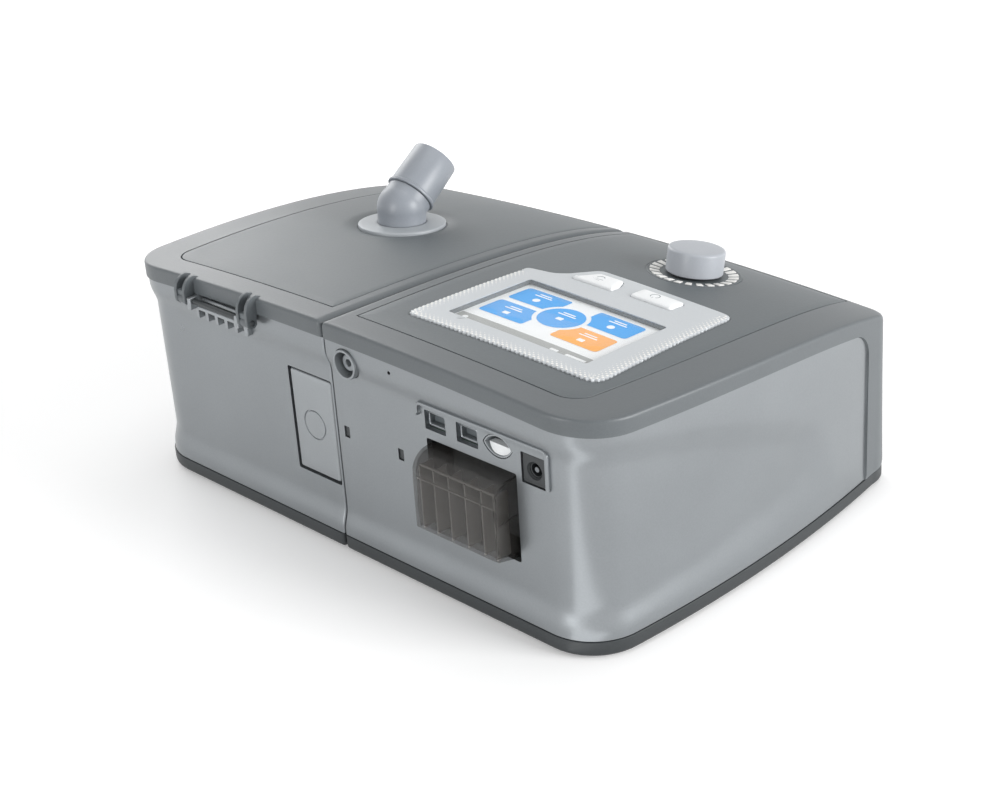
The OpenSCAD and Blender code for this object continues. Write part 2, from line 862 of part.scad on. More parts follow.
module power_pin() {
  in_frame() color("#c9ccd0")
    bar_y(power_x, power_z, 2.1, back_y - 13.2, wall_y - 1.6);
}

module port_board() {
  in_frame() color("#2f6b46")
    box(sensor_x - 11, back_y - 26.2, data_z - 6, data_x[0] + 6.4, wall_y - wall - 0.9,
      data_z - 4.4);
}

module data_socket() {
  in_frame() color("#9b9fa3")
    for (x = data_x)
      difference() {
        box(x - 6.4, back_y - 15.2, data_z - 4.4, x + 6.4, wall_y - wall - part_gap,
          data_z + 4.8);
        box(x - 2.8, back_y - 12.2, data_z - 2.6, x + 5, back_y + 5, data_z + 1.6);
      }
  in_frame() color("#4b4f53")
    for (x = data_x)
      box(x - 1.8, back_y - 12.4, data_z - 0.9, x + 4, back_y - 6.8, data_z + 0.2);
}

module sensor_port() {
  in_frame() color("#eceeee") {
    difference() {
      lens_y(sensor_x, sensor_z, 4.7, back_y - 14.2, wall_y - 0.2);
      lens_y(sensor_x, sensor_z, 3.8, back_y - 8, back_y + 5);
    }
    intersection() {
      lens_y(sensor_x, sensor_z, 3.9, back_y - 8.2, wall_y - 0.5);
      box(sensor_x - 9, back_y - 10, sensor_z - 8, sensor_x + 9, back_y + 5, sensor_z - 0.6);
    }
  }
}

module coax_socket() {
  in_frame() color("#8f9498") {
    difference() {
      bar_y(coax_x, coax_z, 13.2, back_y - 12.2, back_y + 0.5);
      bar_y(coax_x, coax_z, 9.6, back_y - 7, back_y + 5);
    }
    bar_y(coax_x, coax_z, 4.4, back_y - 7.2, back_y - 2);
  }
}

module contact_pads() {
  in_frame() color("#26282a")
    for (x = contact_x)
      box(x - 1.4, wall_y - wall - 1, contact_z - 2.4, x + 1.4,
        wall_y - 0.5, contact_z + 2.4);
  in_frame() color("#26282a")
    box(contact_x[1] - 2.4, wall_y - wall - 2.6, contact_z - 4, contact_x[0] + 2.4,
      wall_y - wall - 0.95, contact_z + 4);
}

module power_board() {
  in_frame() color("#2f6b46") {
    box(-half_w + 11, front_y + 36.2, 12, -half_w + 44.5, back_y - 28.2, 13.6);
    for (y = [front_y + 42.2, back_y - 34.2])
      for (x = [-half_w + 15, -half_w + 40.5])
        translate([x, y, foot_height + wall])
          cylinder(d = 5, h = 8.2);
  }
  in_frame() color("#34383c") {
    box(-half_w + 14.5, -40, 13.5, -half_w + 33.5, -20, 32);
    box(-half_w + 15.5, 0, 13.5, -half_w + 39.5, 22, 26);
    translate([-half_w + 27.5, 44, 13.5])
      cylinder(d = 16, h = 18);
  }
}

module air_duct() {
  in_frame() color("#3c4043")
    difference() {
      union() {
        bar_x(port_y, port_z, port_d, main_face - 27.4, main_face - 0.4);
        bar_x(port_y, port_z, port_d + 6, main_face - wall - 3, main_face - wall - 0.1);
      }
      bar_x(port_y, port_z, port_d - 4, main_face - 34, main_face + 5);
    }
}

module air_seal() {
  in_frame() color("#8b9196")
    difference() {
      union() {
        bar_x(port_y, port_z, port_d + 6, humid_face + wall + 0.1, humid_face + wall + 2.4);
        bar_x(port_y, port_z, port_d, humid_face + 0.1, tank_x - tank_w / 2 - 0.05);
      }
      bar_x(port_y, port_z, port_d - 4, main_face - 5, 24);
    }
}

// ---- humidifier ----

module humidifier_base() {
  in_frame() color("#4a4e51")
    base_tray(humid_side, humid_face);
}

module humidifier_foot() {
  in_frame() color("#2b2d2f")
    foot_places(humid_side)
      cylinder(d = 14, h = 2 * foot_height - 0.1);
}

module humidifier_shell() {
  in_frame() color("#b3b7ba")
    difference() {
      intersection() {
        body_solid(humid_side, humid_face, shell_inset, 0);
        arch_sweep(under_points(part_gap));
        box(-half_w - 5, front_y - 5, base_top, half_w + 5, back_y + 5, 130);
      }
      body_solid(humid_side, humid_face, shell_inset + recess_depth + wall, wall);
      mirror([1, 0, 0])
        side_recess();
      back_recess(humid_side, humid_face);
      // seat of the comb and opening behind the hinge bar
      box(hinge_x - comb_half, wall_y - 0.2, hinge_z - 9, hinge_x + comb_half, back_y + 5,
        hinge_z - 3.3);
      box(hinge_x - comb_half, back_y - 12, hinge_z - 3.4, hinge_x + comb_half, back_y + 5,
        hinge_z + 10);
      // opening of the release plate
      box(seam_x + 0.9, back_y - 10, release_z0 - slide_gap, seam_x + 0.9 + release_w
        + 2 * slide_gap, back_y + 5, release_z1 + slide_gap);
      bar_x(port_y, port_z, port_d + 0.6, humid_face - 10, humid_face + 10);
    }
}

module humidifier_front() {
  in_frame() color("#5f6467")
    difference() {
      intersection() {
        body_solid(humid_side, humid_face, 0, 0);
        box(-half_w, front_y - 5, base_top, half_w + 5, -side_front + 12, 130);
      }
      body_solid(humid_side, humid_face, wall, wall);
      arch_sweep(under_points(0));
      arch_sweep(concat(lip_line(part_gap), [[front_y - 20, 140], [back_y, 140]]));
      latch_box(slide_gap);
    }
}

latch_w = 26;
latch_z = deck_height - 45.2;
latch_h = 9;
latch_in = 8;
module latch_box(g) {
  box(tank_x - latch_w / 2 - g, front_y - 10, latch_z - latch_h / 2 - g,
    tank_x + latch_w / 2 + g, front_y + latch_in + 1, latch_z + latch_h / 2 + g);
}

module lid() {
  in_frame() color("#5f6467")
    difference() {
      union() {
        difference() {
          body_solid(humid_side, humid_face, 0, 0);
          body_solid(humid_side, humid_face, wall, wall);
          arch_sweep(concat([[back_y + 12, -60], [back_y + 12, deck_z(back_y) - lip_height]],
            lip_line(0), [[front_y - 20, -60]]));
        }
        ears();
        outlet_axis()
          translate([0, 0, -seat_depth])
            cylinder(d = disc_d + 5, h = seat_depth - panel_depth - 0.2, $fn = 96);
      }
      deck_slab(5, panel_depth)
        panel_outline(humid_side, humid_face, 0);
      // seat and opening of the outlet
      outlet_axis() {
        translate([0, 0, -3])
          cylinder(d = disc_d + 0.4, h = 10, $fn = 96);
        translate([0, 0, -20])
          cylinder(d = 27, h = 30);
      }
      bar_x(hinge_y, hinge_z, hinge_pin_d + 2 * run_fit, hinge_x - 40, hinge_x + 40);
    }
}

seat_depth = 6;
ear_w = 1.6;
ear_pitch = 5.5;
ear_r = hinge_out - part_gap;
ear_rise = 1.2;
// two brackets, each of two cheeks with a block between them
module ears() {
  for (m = [hinge_x - hinge_span / 2, hinge_x + hinge_span / 2]) {
    high = top_z(m, back_y) + ear_rise;
    for (x = [m - ear_pitch / 2, m + ear_pitch / 2])
      translate([x - ear_w / 2, 0, 0]) {
        translate([0, hinge_y, hinge_z])
          rotate([0, 90, 0])
            cylinder(r = ear_r, h = ear_w);
        rotate([90, 0, 90])
          linear_extrude(height = ear_w)
            polygon([[hinge_y - ear_r, hinge_z], [hinge_y + ear_r, hinge_z],
              [hinge_y + ear_r, high - 6], [hinge_y + ear_r - 0.7, high - 3.4],
              [hinge_y + ear_r - 2.2, high - 1.3], [hinge_y + ear_r - 4.4, high - 0.2],
              [back_y - 0.4, high], [back_y - 3.4, high - 1.2], [back_y - 3.4, high - 4],
              [back_y - 1, high - 6]]);
      }
    box(m - ear_pitch / 2, hinge_y - ear_r, hinge_z + 1.6, m + ear_pitch / 2,
      hinge_y + ear_r - 0.8, hinge_z + 4.2);
    translate([m - ear_pitch / 2, hinge_y, hinge_z])
      rotate([0, 90, 0])
        cylinder(r = ear_r - 0.3, h = ear_pitch);
  }
}

module lid_panel() {
  in_frame() color("#6c7174")
    difference() {
      deck_slab(0, panel_depth - 0.05)
        panel_outline(humid_side, humid_face, panel_line);
      outlet_axis()
        translate([0, 0, -10])
          cylinder(d = disc_d + 0.4, h = 20, $fn = 96);
    }
}

module hinge_pin() {
  in_frame() color("#3a3d40")
    bar_x(hinge_y, hinge_z, hinge_pin_d, hinge_x - hinge_span / 2 - ear_pitch / 2 - ear_w,
      hinge_x + hinge_span / 2 + ear_pitch / 2 + ear_w);
}

comb_half = hinge_span / 2 - ear_pitch / 2 - ear_w / 2 - part_gap;
comb_top = top_z(hinge_x + comb_half, back_y) - lip_height - part_gap;
module hinge_comb() {
  pitch = (2 * comb_half - 1.8) / 5;
  in_frame() color("#b3b7ba")
    difference() {
      union() {
        box(hinge_x - comb_half, wall_y - 0.2, hinge_z - 9, hinge_x + comb_half, back_y + 0.8,
          hinge_z - 3.4);
        for (x = [hinge_x - comb_half, hinge_x + comb_half - 2.4])
          box(x, wall_y - wall, hinge_z - 3.5, x + 2.4, hinge_y + hinge_pin_d / 2 + 0.9, comb_top);
      }
      for (i = [0:4])
        box(hinge_x - comb_half + 1.8 + i * pitch, wall_y + 0.6, hinge_z - 10,
          hinge_x - comb_half + (i + 1) * pitch, back_y + 5, hinge_z - 5);
      bar_x(hinge_y, hinge_z, hinge_pin_d + 0.02, hinge_x - 40, hinge_x + 40);
      box(hinge_x - 50, back_y - 20, hinge_z - 20, hinge_x + 50, wall_y, hinge_z - 3.45);
    }
}

module lid_gasket() {
  in_frame() color("#8b9196")
    difference() {
      outlet_axis()
        translate([0, 0, -seat_depth - 20])
          cylinder(d = 34, h = 20 - 0.02);
      outlet_axis()
        translate([0, 0, -40])
          cylinder(d = 27, h = 60);
      box(tank_x - 60, -60, 40, tank_x + 60, 60, tank_z + tank_h + 3.1);
    }
}

module lid_latch() {
  in_frame() color("#84898d") {
    latch_box_cap();
    box(tank_x - latch_w / 2 - 2, front_y + latch_in, latch_z - latch_h / 2 - 2,
      tank_x + latch_w / 2 + 2, front_y + latch_in + 2, latch_z + latch_h / 2 + 2);
  }
}

module latch_box_cap() {
  intersection() {
    latch_box(0);
    body_solid(humid_side, humid_face, 0.5, 0);
  }
}

module heater_plate() {
  in_frame() color("#3c4043")
    box(tank_x - tank_w / 2 + 6, tank_y - tank_d / 2 + 10, foot_height + wall,
      tank_x + tank_w / 2 - 6, tank_y + tank_d / 2 - 10, tank_z - 4);
  in_frame() color("#c4c7ca")
    translate([tank_x, tank_y, tank_z - 4.05])
      cylinder(d = tank_w - 20, h = 1.9, $fn = 96);
}

module tank_plate() {
  in_frame() color("#cfd2d5")
    translate([tank_x, tank_y, tank_z - 2.1])
      cylinder(d = tank_w - 22, h = 2, $fn = 96);
}

module tank_block(w, z0, z1) {
  translate([0, 0, z0])
    linear_extrude(height = z1 - z0)
      round_rect(tank_x - tank_w / 2 + w, tank_y - tank_d / 2 + w, tank_x + tank_w / 2 - w,
        tank_y + tank_d / 2 - w, 12);
}

module water_tank() {
  in_frame() color("#cfe0ea")
    difference() {
      tank_block(0, tank_z - 0.1, tank_z + tank_h);
      tank_block(tank_wall, tank_z + tank_wall, tank_z + tank_h + 10);
      // air inlet in the wall beside the main unit
      bar_x(port_y, port_z, port_d - 4, 0, tank_x - tank_w / 2 + 4);
    }
}

module tank_cover() {
  in_frame() color("#9aa3a8")
    difference() {
      union() {
        tank_block(0, tank_z + tank_h, tank_z + tank_h + 3);
        tank_block(tank_wall + 0.2, tank_z + tank_h - 4, tank_z + tank_h + 0.1);
      }
      tank_block(tank_wall + 2, tank_z + tank_h - 6, tank_z + tank_h - 0.05);
      translate([outlet_x, -outlet_y, tank_z + tank_h - 8])
        cylinder(d = 25, h = 20);
      bar_x(port_y, port_z, port_d - 4, 0, tank_x - tank_w / 2 + 10);
    }
}

module release_plate() {
  in_frame() color("#a9adb0")
    box(seam_x + 0.9 + slide_gap, wall_y - wall - 1, release_z0, seam_x + 0.9
      + slide_gap + release_w, wall_y - 0.2, release_z1);
  in_frame() color("#a9adb0")
    box(humid_face + wall + part_gap, wall_y - wall - 2.2, release_z0 - 2,
      seam_x + 0.9 + slide_gap + release_w + 2, wall_y - wall - 0.1 - 0.2,
      release_z1 + 2);
}

// ---- air outlet ----
disc_top = 0.3;
bend_z = disc_top + bend_height;

// places children on the tilted axis of the elbow, z = 0 at the deck
module outlet_axis() {
  translate([outlet_x, -outlet_y, top_z(outlet_x, -outlet_y)])
    rotate([outlet_tilt, asin(outlet_x / arch_radius), 0])
      children();
}

module outlet_disc() {
  in_frame() color("#b6bbc0")
    outlet_axis()
      difference() {
        union() {
          translate([0, 0, disc_top - 3.3])
            cylinder(d = disc_d, h = 3.3, $fn = 96);
          translate([0, 0, disc_top - 8])
            cylinder(d = 26.4, h = 7);
        }
        translate([0, 0, disc_top - 20])
          cylinder(d = elbow_d - 1.6 + 2 * run_fit, h = 40, $fn = 72);
      }
}

module elbow() {
  in_frame() color("#a7acb5")
    outlet_axis()
      difference() {
        union() {
          translate([0, 0, disc_top - 7])
            cylinder(d = elbow_d - 1.6, h = 7 + bend_height, $fn = 72);
          translate([0, 0, disc_top + run_fit])
            cylinder(d = elbow_d, h = bend_height - run_fit, $fn = 72);
          translate([0, 0, bend_z])
            sphere(d = elbow_d + 0.4, $fn = 72);
          cuff_axis() {
            cylinder(d = elbow_d - 0.6, h = 7, $fn = 72);
            cylinder(d = cuff_d - 3.2, h = 12, $fn = 72);
          }
        }
        translate([0, 0, disc_top - 20])
          cylinder(d = elbow_bore, h = 20 + bend_height, $fn = 64);
        translate([0, 0, bend_z])
          sphere(d = elbow_bore + 0.4, $fn = 64);
        cuff_axis()
          cylinder(d = cuff_d - 6.4, h = 20, $fn = 64);
      }
}

module cuff_axis() {
  translate([0, 0, bend_z])
    rotate([90 - outlet_rise, 0, 0])
      children();
}

module cuff() {
  in_frame() color("#a7acb5")
    outlet_axis()
      cuff_axis()
        difference() {
          union() {
            translate([0, 0, 7 + part_gap])
              cylinder(d = elbow_d + 1.6, h = 1.4, $fn = 72);
            translate([0, 0, 7 + part_gap])
              cylinder(d1 = cuff_d + 0.9, d2 = cuff_d, h = 7, $fn = 72);
            translate([0, 0, 7 + part_gap])
              cylinder(d = cuff_d, h = cuff_length, $fn = 72);
          }
          translate([0, 0, 6])
            cylinder(d = cuff_d - 3.2 + 2 * run_fit, h = 6.1, $fn = 72);
          translate([0, 0, 6])
            cylinder(d = cuff_d - 3.2, h = cuff_length + 5, $fn = 72);
        }
}

main_base();
main_shell();
main_cover();
main_panel();
screen_bezel();
screen_glass();
screen_display();
control_board();
button_left();
button_right();
knob();
knob_stem();
knob_encoder();
knob_marks();
muffler();
blower_housing();
blower_impeller();
blower_motor();
filter_box();
filter_pad();
filter_cover();
power_inlet();
power_pin();
port_board();
data_socket();
sensor_port();
coax_socket();
contact_pads();
power_board();
air_duct();
air_seal();
main_foot();
humidifier_base();
humidifier_shell();
humidifier_front();
humidifier_foot();
heater_plate();
water_tank();
tank_cover();
tank_plate();
lid();
lid_panel();
lid_gasket();
lid_latch();
hinge_pin();
hinge_comb();
release_plate();
outlet_disc();
elbow();
cuff();
main_screw();
humidifier_screw();
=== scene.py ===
import math
import bpy
from mathutils import Matrix, Vector


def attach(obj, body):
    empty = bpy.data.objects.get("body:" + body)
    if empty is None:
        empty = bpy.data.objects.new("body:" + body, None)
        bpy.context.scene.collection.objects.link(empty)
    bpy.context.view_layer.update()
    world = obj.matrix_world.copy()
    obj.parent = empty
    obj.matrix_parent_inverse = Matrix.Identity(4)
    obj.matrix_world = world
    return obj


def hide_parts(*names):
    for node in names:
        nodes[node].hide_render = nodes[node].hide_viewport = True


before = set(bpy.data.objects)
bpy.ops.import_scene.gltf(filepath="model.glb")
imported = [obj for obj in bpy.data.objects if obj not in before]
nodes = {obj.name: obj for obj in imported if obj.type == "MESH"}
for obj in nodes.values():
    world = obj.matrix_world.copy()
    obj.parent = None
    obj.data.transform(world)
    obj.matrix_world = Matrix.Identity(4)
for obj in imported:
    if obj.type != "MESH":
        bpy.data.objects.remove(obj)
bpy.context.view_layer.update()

# sizes in millimetres, +Y is the back with the ports, +X is the humidifier
bodyForm = {"halfWidth": 145.5, "backY": 94.45, "depth": 196.4, "deckHeight": 107.2, "deckSlope": 7.2,
    "deckCurve": 12.8, "deckBrow": 4.5, "archRadius": 1935, "sideBow": 650, "bowMiddle": -13.75,
    "frontTopY": -96.33, "frontLean": 4.2, "mainSeam": -3.9, "humidSeam": 4.5, "lipHeight": 7.3, "wall": 2.4,
    "baseTop": 8, "shellInset": 0.9, "gap": 0.3, "recess": 2.2, "fasciaBend": -66.45, "fasciaCorner": -76.4,
    "fasciaEnd": -78.6, "fasciaRound": 10, "fasciaDrop": 9, "lipEnd": -87.95}
rimY = bodyForm["backY"] - bodyForm["shellInset"]
wallY = rimY - bodyForm["recess"]
leanSlope = math.tan(math.radians(bodyForm["frontLean"]))


def deckZ(u, y):
    t = (bodyForm["backY"] - y) / bodyForm["depth"]
    fall = bodyForm["deckSlope"] * t + bodyForm["deckCurve"] * t ** 3 + bodyForm["deckBrow"] * t ** 7
    return bodyForm["deckHeight"] - fall - u * u / (2 * bodyForm["archRadius"])


def onDeck(a, b, h):
    return (a, b, deckZ(a, b) + h)


def onBack(a, b, h):
    return (a, wallY + h, b)


def laid(outline, h, place=onDeck):
    return [place(a, b, h) for a, b in outline]


def pairs(outline):
    # each point with the next one, round to the first
    return list(zip(outline, outline[1:] + outline[:1]))


def shifted(x, y, z):
    return Matrix.Translation((x / 1000, y / 1000, z / 1000))


def frontFace(x, z):
    return bodyForm["frontTopY"] - leanSlope * (deckZ(x, bodyForm["frontTopY"]) - z)


def sideU(y):
    return bodyForm["halfWidth"] - (y - bodyForm["bowMiddle"]) ** 2 / (2 * bodyForm["sideBow"])


def bowAngle(y):
    return math.atan((y - bodyForm["bowMiddle"]) / bodyForm["sideBow"])


# stations along both sides, closer where the fascia meets the silver shell
foldStops = [-60.25, -64.25, -66.45, -67.75, -69.25, -70.75, -72.05, -73.25, -74.25, -75.15, -75.75, -76.15,
    -76.4, -76.75, -77.45, -78.25, -78.65]
sideStops = [88 - 10 * k for k in range(15)] + foldStops + [-80.25, -84.25]
seamStops = [82 - 10 * k for k in range(15)] + foldStops + [-82.25, -88.25]


def moduleOutline(seam, back=0.0, out=0.0, front=0.0, inSeam=0.0, rBack=25.0, rFront=12.0, rSeam=1.5, fine=1):
    # plan of one module, from the back corner at the seam round to the seam again
    backY = bodyForm["backY"] - back
    frontY = bodyForm["frontTopY"] + front
    seamU = seam + inSeam
    cy = backY - rBack
    backBow = bowAngle(cy)
    ty = cy + rBack * math.sin(backBow)
    cu = sideU(ty) - out - rBack * math.cos(backBow)
    fy = frontY + rFront
    frontBow = bowAngle(fy)
    sy = fy + rFront * math.sin(frontBow)
    fu = sideU(sy) - out - rFront * math.cos(frontBow)
    points = []

    def addRun(start, end, y, count, facing):
        points.extend((start + (end - start) * i / count, y, 0, facing) for i in range(count))

    def addArc(x, y, r, start, end, count):
        for i in range(count):
            a = start + (end - start) * i / count
            points.append((x + r * math.cos(a), y + r * math.sin(a), math.cos(a), math.sin(a)))

    addRun(seamU + rSeam, cu, backY, 14 * fine, 1)
    addArc(cu, cy, rBack, math.pi / 2, backBow, 12 * fine)
    plainTop = bodyForm["backY"] - 25 + 25 * math.sin(backBow)
    plainEnd = bodyForm["frontTopY"] + 12 - 12 * math.sin(-frontBow)
    stops = [y for y in sideStops if plainEnd + 1 < y < plainTop - 1]
    if fine > 1:
        stops = sorted(set(stops + [(a + b) / 2 for a, b in zip(stops, stops[1:])]), reverse=True)
    for y in [plainTop] + stops:
        f = (plainTop - y) / (plainTop - plainEnd)
        yy = ty + (sy - ty) * f
        a = bowAngle(yy)
        points.append((sideU(yy) - out, yy, math.cos(a), math.sin(a)))
    addArc(fu, fy, rFront, frontBow, -math.pi / 2, 12 * fine)
    addRun(fu, seamU + rSeam, frontY, 12, -1)
    addArc(seamU + rSeam, frontY + rSeam, rSeam, -math.pi / 2, -math.pi, 4)
    low, high = frontY + rSeam, backY - rSeam
    baseLow, baseHigh = bodyForm["frontTopY"] + 1.5, bodyForm["backY"] - 1.5
    for y in [baseLow] + sorted(seamStops):
        f = (y - baseLow) / (baseHigh - baseLow)
        points.append((seamU, low + (high - low) * f, -1, 0))
    addArc(seamU + rSeam, backY - rSeam, rSeam, math.pi, math.pi / 2, 4)
    return points


def fasciaEdge(u, y, inset=0.0):
    # lower edge of the dark cover: the lip, then a round corner down to the base
    form = bodyForm
    y = y - inset
    lip = deckZ(u, y) - form["lipHeight"] - inset
    if y >= form["fasciaBend"]:
        return lip
    if y > form["fasciaCorner"]:
        d, r = form["fasciaBend"] - y, form["fasciaRound"]
        return lip - r + math.sqrt(r * r - d * d)
    if y <= form["fasciaEnd"]:
        return form["baseTop"]
    corner = deckZ(u, form["fasciaCorner"]) - form["lipHeight"] - form["fasciaDrop"]
    t = (form["fasciaCorner"] - y) / (form["fasciaCorner"] - form["fasciaEnd"])
    return corner + (form["baseTop"] - corner) * t


def lidEdge(u, y):
    return deckZ(u, max(y, bodyForm["lipEnd"])) - bodyForm["lipHeight"]


def leanShift(p, z):
    # how far the leaning front has moved out at a height
    return leanSlope * max(0, -p[3]) ** 2 * (deckZ(p[0], p[1]) - z)


def clearSelection():
    if bpy.context.mode != "OBJECT":
        bpy.ops.object.mode_set(mode="OBJECT")
    bpy.ops.object.select_all(action="DESELECT")


def makeActive(piece):
    clearSelection()
    piece.select_set(True)
    bpy.context.view_layer.objects.active = piece


def editMesh(piece, **steps):
    # edit-mode operators by name, each over the whole mesh
    makeActive(piece)
    bpy.ops.object.mode_set(mode="EDIT")
    bpy.ops.mesh.select_all(action="SELECT")
    for step, settings in steps.items():
        getattr(bpy.ops.mesh, step)(**settings)
    bpy.ops.object.mode_set(mode="OBJECT")


def shadeSmooth(angle=35):
    bpy.ops.object.shade_smooth_by_angle(angle=math.radians(angle))


def tidyMesh(piece, angle=35, recalculate=True):
    editMesh(piece, remove_doubles={"threshold": 0.00001})
    if recalculate:
        editMesh(piece, normals_make_consistent={"inside": False})
    shadeSmooth(angle)


def applyModifier(piece, kind, **settings):
    makeActive(piece)
    modifier = piece.modifiers.new("shaping", kind)
    for key, value in settings.items():
        setattr(modifier, key, value)
    bpy.ops.object.modifier_apply(modifier=modifier.name)


def loftPiece(name, rings, closed=True, angle=35, recalculate=True):
    # a grid primitive laid over rings of points in millimetres
    clearSelection()
    columns = len(rings[0]) if closed else len(rings[0]) - 1
    bpy.ops.mesh.primitive_grid_add(x_subdivisions=columns, y_subdivisions=len(rings) - 1, size=1)
    piece = bpy.context.object
    piece.name = name
    for vertex in piece.data.vertices:
        j, i = divmod(vertex.index, columns + 1)
        vertex.co = Vector(rings[j][i % len(rings[0])]) / 1000
    tidyMesh(piece, angle=angle, recalculate=recalculate)
    return piece


def roundedOutline(corners, radius, steps=4):
    # corners in order, each one rounded; a corner may carry its own radius
    result = []
    count = len(corners)
    for k, corner in enumerate(corners):
        r = corner[2] if len(corner) > 2 else radius
        p = Vector(corner[:2])
        before = Vector(corners[k - 1][:2]) - p
        after = Vector(corners[(k + 1) % count][:2]) - p
        turn = math.pi - before.angle(after)
        reach = min(r * math.tan(turn / 2), before.length * 0.48, after.length * 0.48)
        if reach < 0.02:
            result.append((p.x, p.y))
            continue
        a, b = p + before.normalized() * reach, p + after.normalized() * reach
        for i in range(steps + 1):
            t = i / steps
            q = a * (1 - t) ** 2 + p * 2 * t * (1 - t) + b * t * t
            result.append((q.x, q.y))
    return result


def boxOutline(x0, y0, x1, y1, radius=0.5, steps=4):
    return roundedOutline([(x0, y0), (x1, y0), (x1, y1), (x0, y1)], radius, steps)


def splitEdges(outline, longest):
    result = []
    for (a, b), (c, d) in pairs(outline):
        parts = max(1, math.ceil(math.hypot(c - a, d - b) / longest))
        result += [(a + (c - a) * k / parts, b + (d - b) * k / parts) for k in range(parts)]
    return result


def insetOutline(outline, inset):
    if not inset:
        return outline
    count = len(outline)
    area = sum(p[0] * q[1] - q[0] * p[1] for p, q in pairs(outline))
    result = []
    for k in range(count):
        p = Vector(outline[k])
        e1 = (p - Vector(outline[k - 1])).normalized()
        e2 = (Vector(outline[(k + 1) % count]) - p).normalized()
        n1, n2 = Vector((-e1.y, e1.x)), Vector((-e2.y, e2.x))
        step = (n1 + n2) / max(1 + n1.dot(n2), 0.4)
        q = p + step * (inset if area > 0 else -inset)
        result.append((q.x, q.y))
    return result


def platePiece(name, outline, levels, place, fill=(0.6, 0.25, 0), angle=35):
    # a closed plate: levels are (inset, height) from the underside to the top
    centre = (sum(p[0] for p in outline) / len(outline), sum(p[1] for p in outline) / len(outline))

    def ringAt(inset, height, shrink=1.0):
        return [place(centre[0] + (a - centre[0]) * shrink, centre[1] + (b - centre[1]) * shrink, height)
            for a, b in insetOutline(outline, inset)]

    rings = [ringAt(*levels[0], shrink) for shrink in reversed(fill)]
    rings += [ringAt(inset, height) for inset, height in levels]
    rings += [ringAt(*levels[-1], shrink) for shrink in fill]
    return loftPiece(name, rings, angle=angle)


def turnedPiece(name, profile, matrix=None, count=96, angle=35):
    # a circle drawn out along a profile of radius and height in millimetres
    clearSelection()
    bpy.ops.mesh.primitive_circle_add(vertices=count, radius=max(profile[0][0], 0.001))
    piece = bpy.context.object
    piece.name = name
    bpy.ops.object.mode_set(mode="EDIT")
    bpy.ops.mesh.select_mode(type="VERT")
    bpy.ops.mesh.select_all(action="SELECT")
    bpy.ops.transform.translate(value=(0, 0, profile[0][1]))
    for (r0, z0), (r1, z1) in zip(profile, profile[1:]):
        scale = max(r1, 0.001) / max(r0, 0.001)
        bpy.ops.mesh.extrude_edges_move()
        bpy.ops.transform.resize(value=(scale, scale, 1), center_override=(0, 0, z0))
        bpy.ops.transform.translate(value=(0, 0, z1 - z0))
    bpy.ops.object.mode_set(mode="OBJECT")
    piece.data.transform((matrix or Matrix.Identity(4)) @ Matrix.Scale(0.001, 4))
    tidyMesh(piece, angle=angle)
    return piece


def blockPiece(name, low, high, bevel=0.3, segments=3):
    # a cube with its edges rounded
    clearSelection()
    bpy.ops.mesh.primitive_cube_add(size=1, location=[(a + b) / 2000 for a, b in zip(low, high)])
    piece = bpy.context.object
    piece.name = name
    piece.scale = [(b - a) / 1000 for a, b in zip(low, high)]
    bpy.ops.object.transform_apply(location=True, rotation=True, scale=True)
    if bevel:
        applyModifier(piece, "BEVEL", width=bevel / 1000, segments=segments, limit_method="NONE")
        shadeSmooth()
    return piece


def barPiece(name, centre, radius, length, axis="Y", vertices=48, bevel=0.0):
    clearSelection()
    turn = {"X": (0, math.pi / 2, 0), "Y": (math.pi / 2, 0, 0), "Z": (0, 0, 0)}[axis]
    bpy.ops.mesh.primitive_cylinder_add(vertices=vertices, radius=radius / 1000, depth=length / 1000,
        location=[c / 1000 for c in centre], rotation=turn)
    piece = bpy.context.object
    piece.name = name
    bpy.ops.object.transform_apply(location=True, rotation=True, scale=True)
    if bevel:
        applyModifier(piece, "BEVEL", width=bevel / 1000, segments=2, limit_method="ANGLE")
    shadeSmooth()
    return piece


def railPiece(name, path, section, place):
    # a section carried along a flat path, a across the path and h out of it
    rings = []
    count = len(path)
    for k, p in enumerate(path):
        e1 = (Vector(p) - Vector(path[max(k - 1, 0)])).normalized()
        e2 = (Vector(path[min(k + 1, count - 1)]) - Vector(p)).normalized()
        along = (e1 + e2).normalized() if k not in (0, count - 1) else (e2 if k == 0 else e1)
        wide = 1 / max(along.dot(e2 if k == 0 else e1), 0.5)
        across = Vector((-along.y, along.x))
        rings.append([place(p[0] + across.x * a * wide, p[1] + across.y * a * wide, h) for a, h in section])
    level = sum(h for _, h in section) / len(section)
    for end, k in ((0, 0), (len(rings), -1)):
        rings.insert(end, [place(*path[k], level)] * len(section))
    return loftPiece(name, rings)


def capped(rings, first, last):
    # closes both ends of a row of rings with a point
    return [[first] * len(rings[0])] + rings + [[last] * len(rings[0])]


def arcPath(x, y, r, start, end, count=18):
    turns = [math.radians(start + (end - start) * k / count) for k in range(count + 1)]
    return [(x + r * math.cos(a), y + r * math.sin(a)) for a in turns]


def ringOutline(x, y, r, count=20):
    turns = [math.tau * k / count for k in range(count)]
    return [(x + r * math.cos(a), y + r * math.sin(a)) for a in turns]


def joinPieces(name, pieces):
    clearSelection()
    for piece in pieces:
        piece.select_set(True)
    bpy.context.view_layer.objects.active = pieces[0]
    if len(pieces) > 1:
        bpy.ops.object.join()
    pieces[0].name = name
    return pieces[0]


def copyPiece(piece, matrix):
    twin = piece.copy()
    twin.data = piece.data.copy()
    twin.data.transform(matrix)
    bpy.context.scene.collection.objects.link(twin)
    return twin


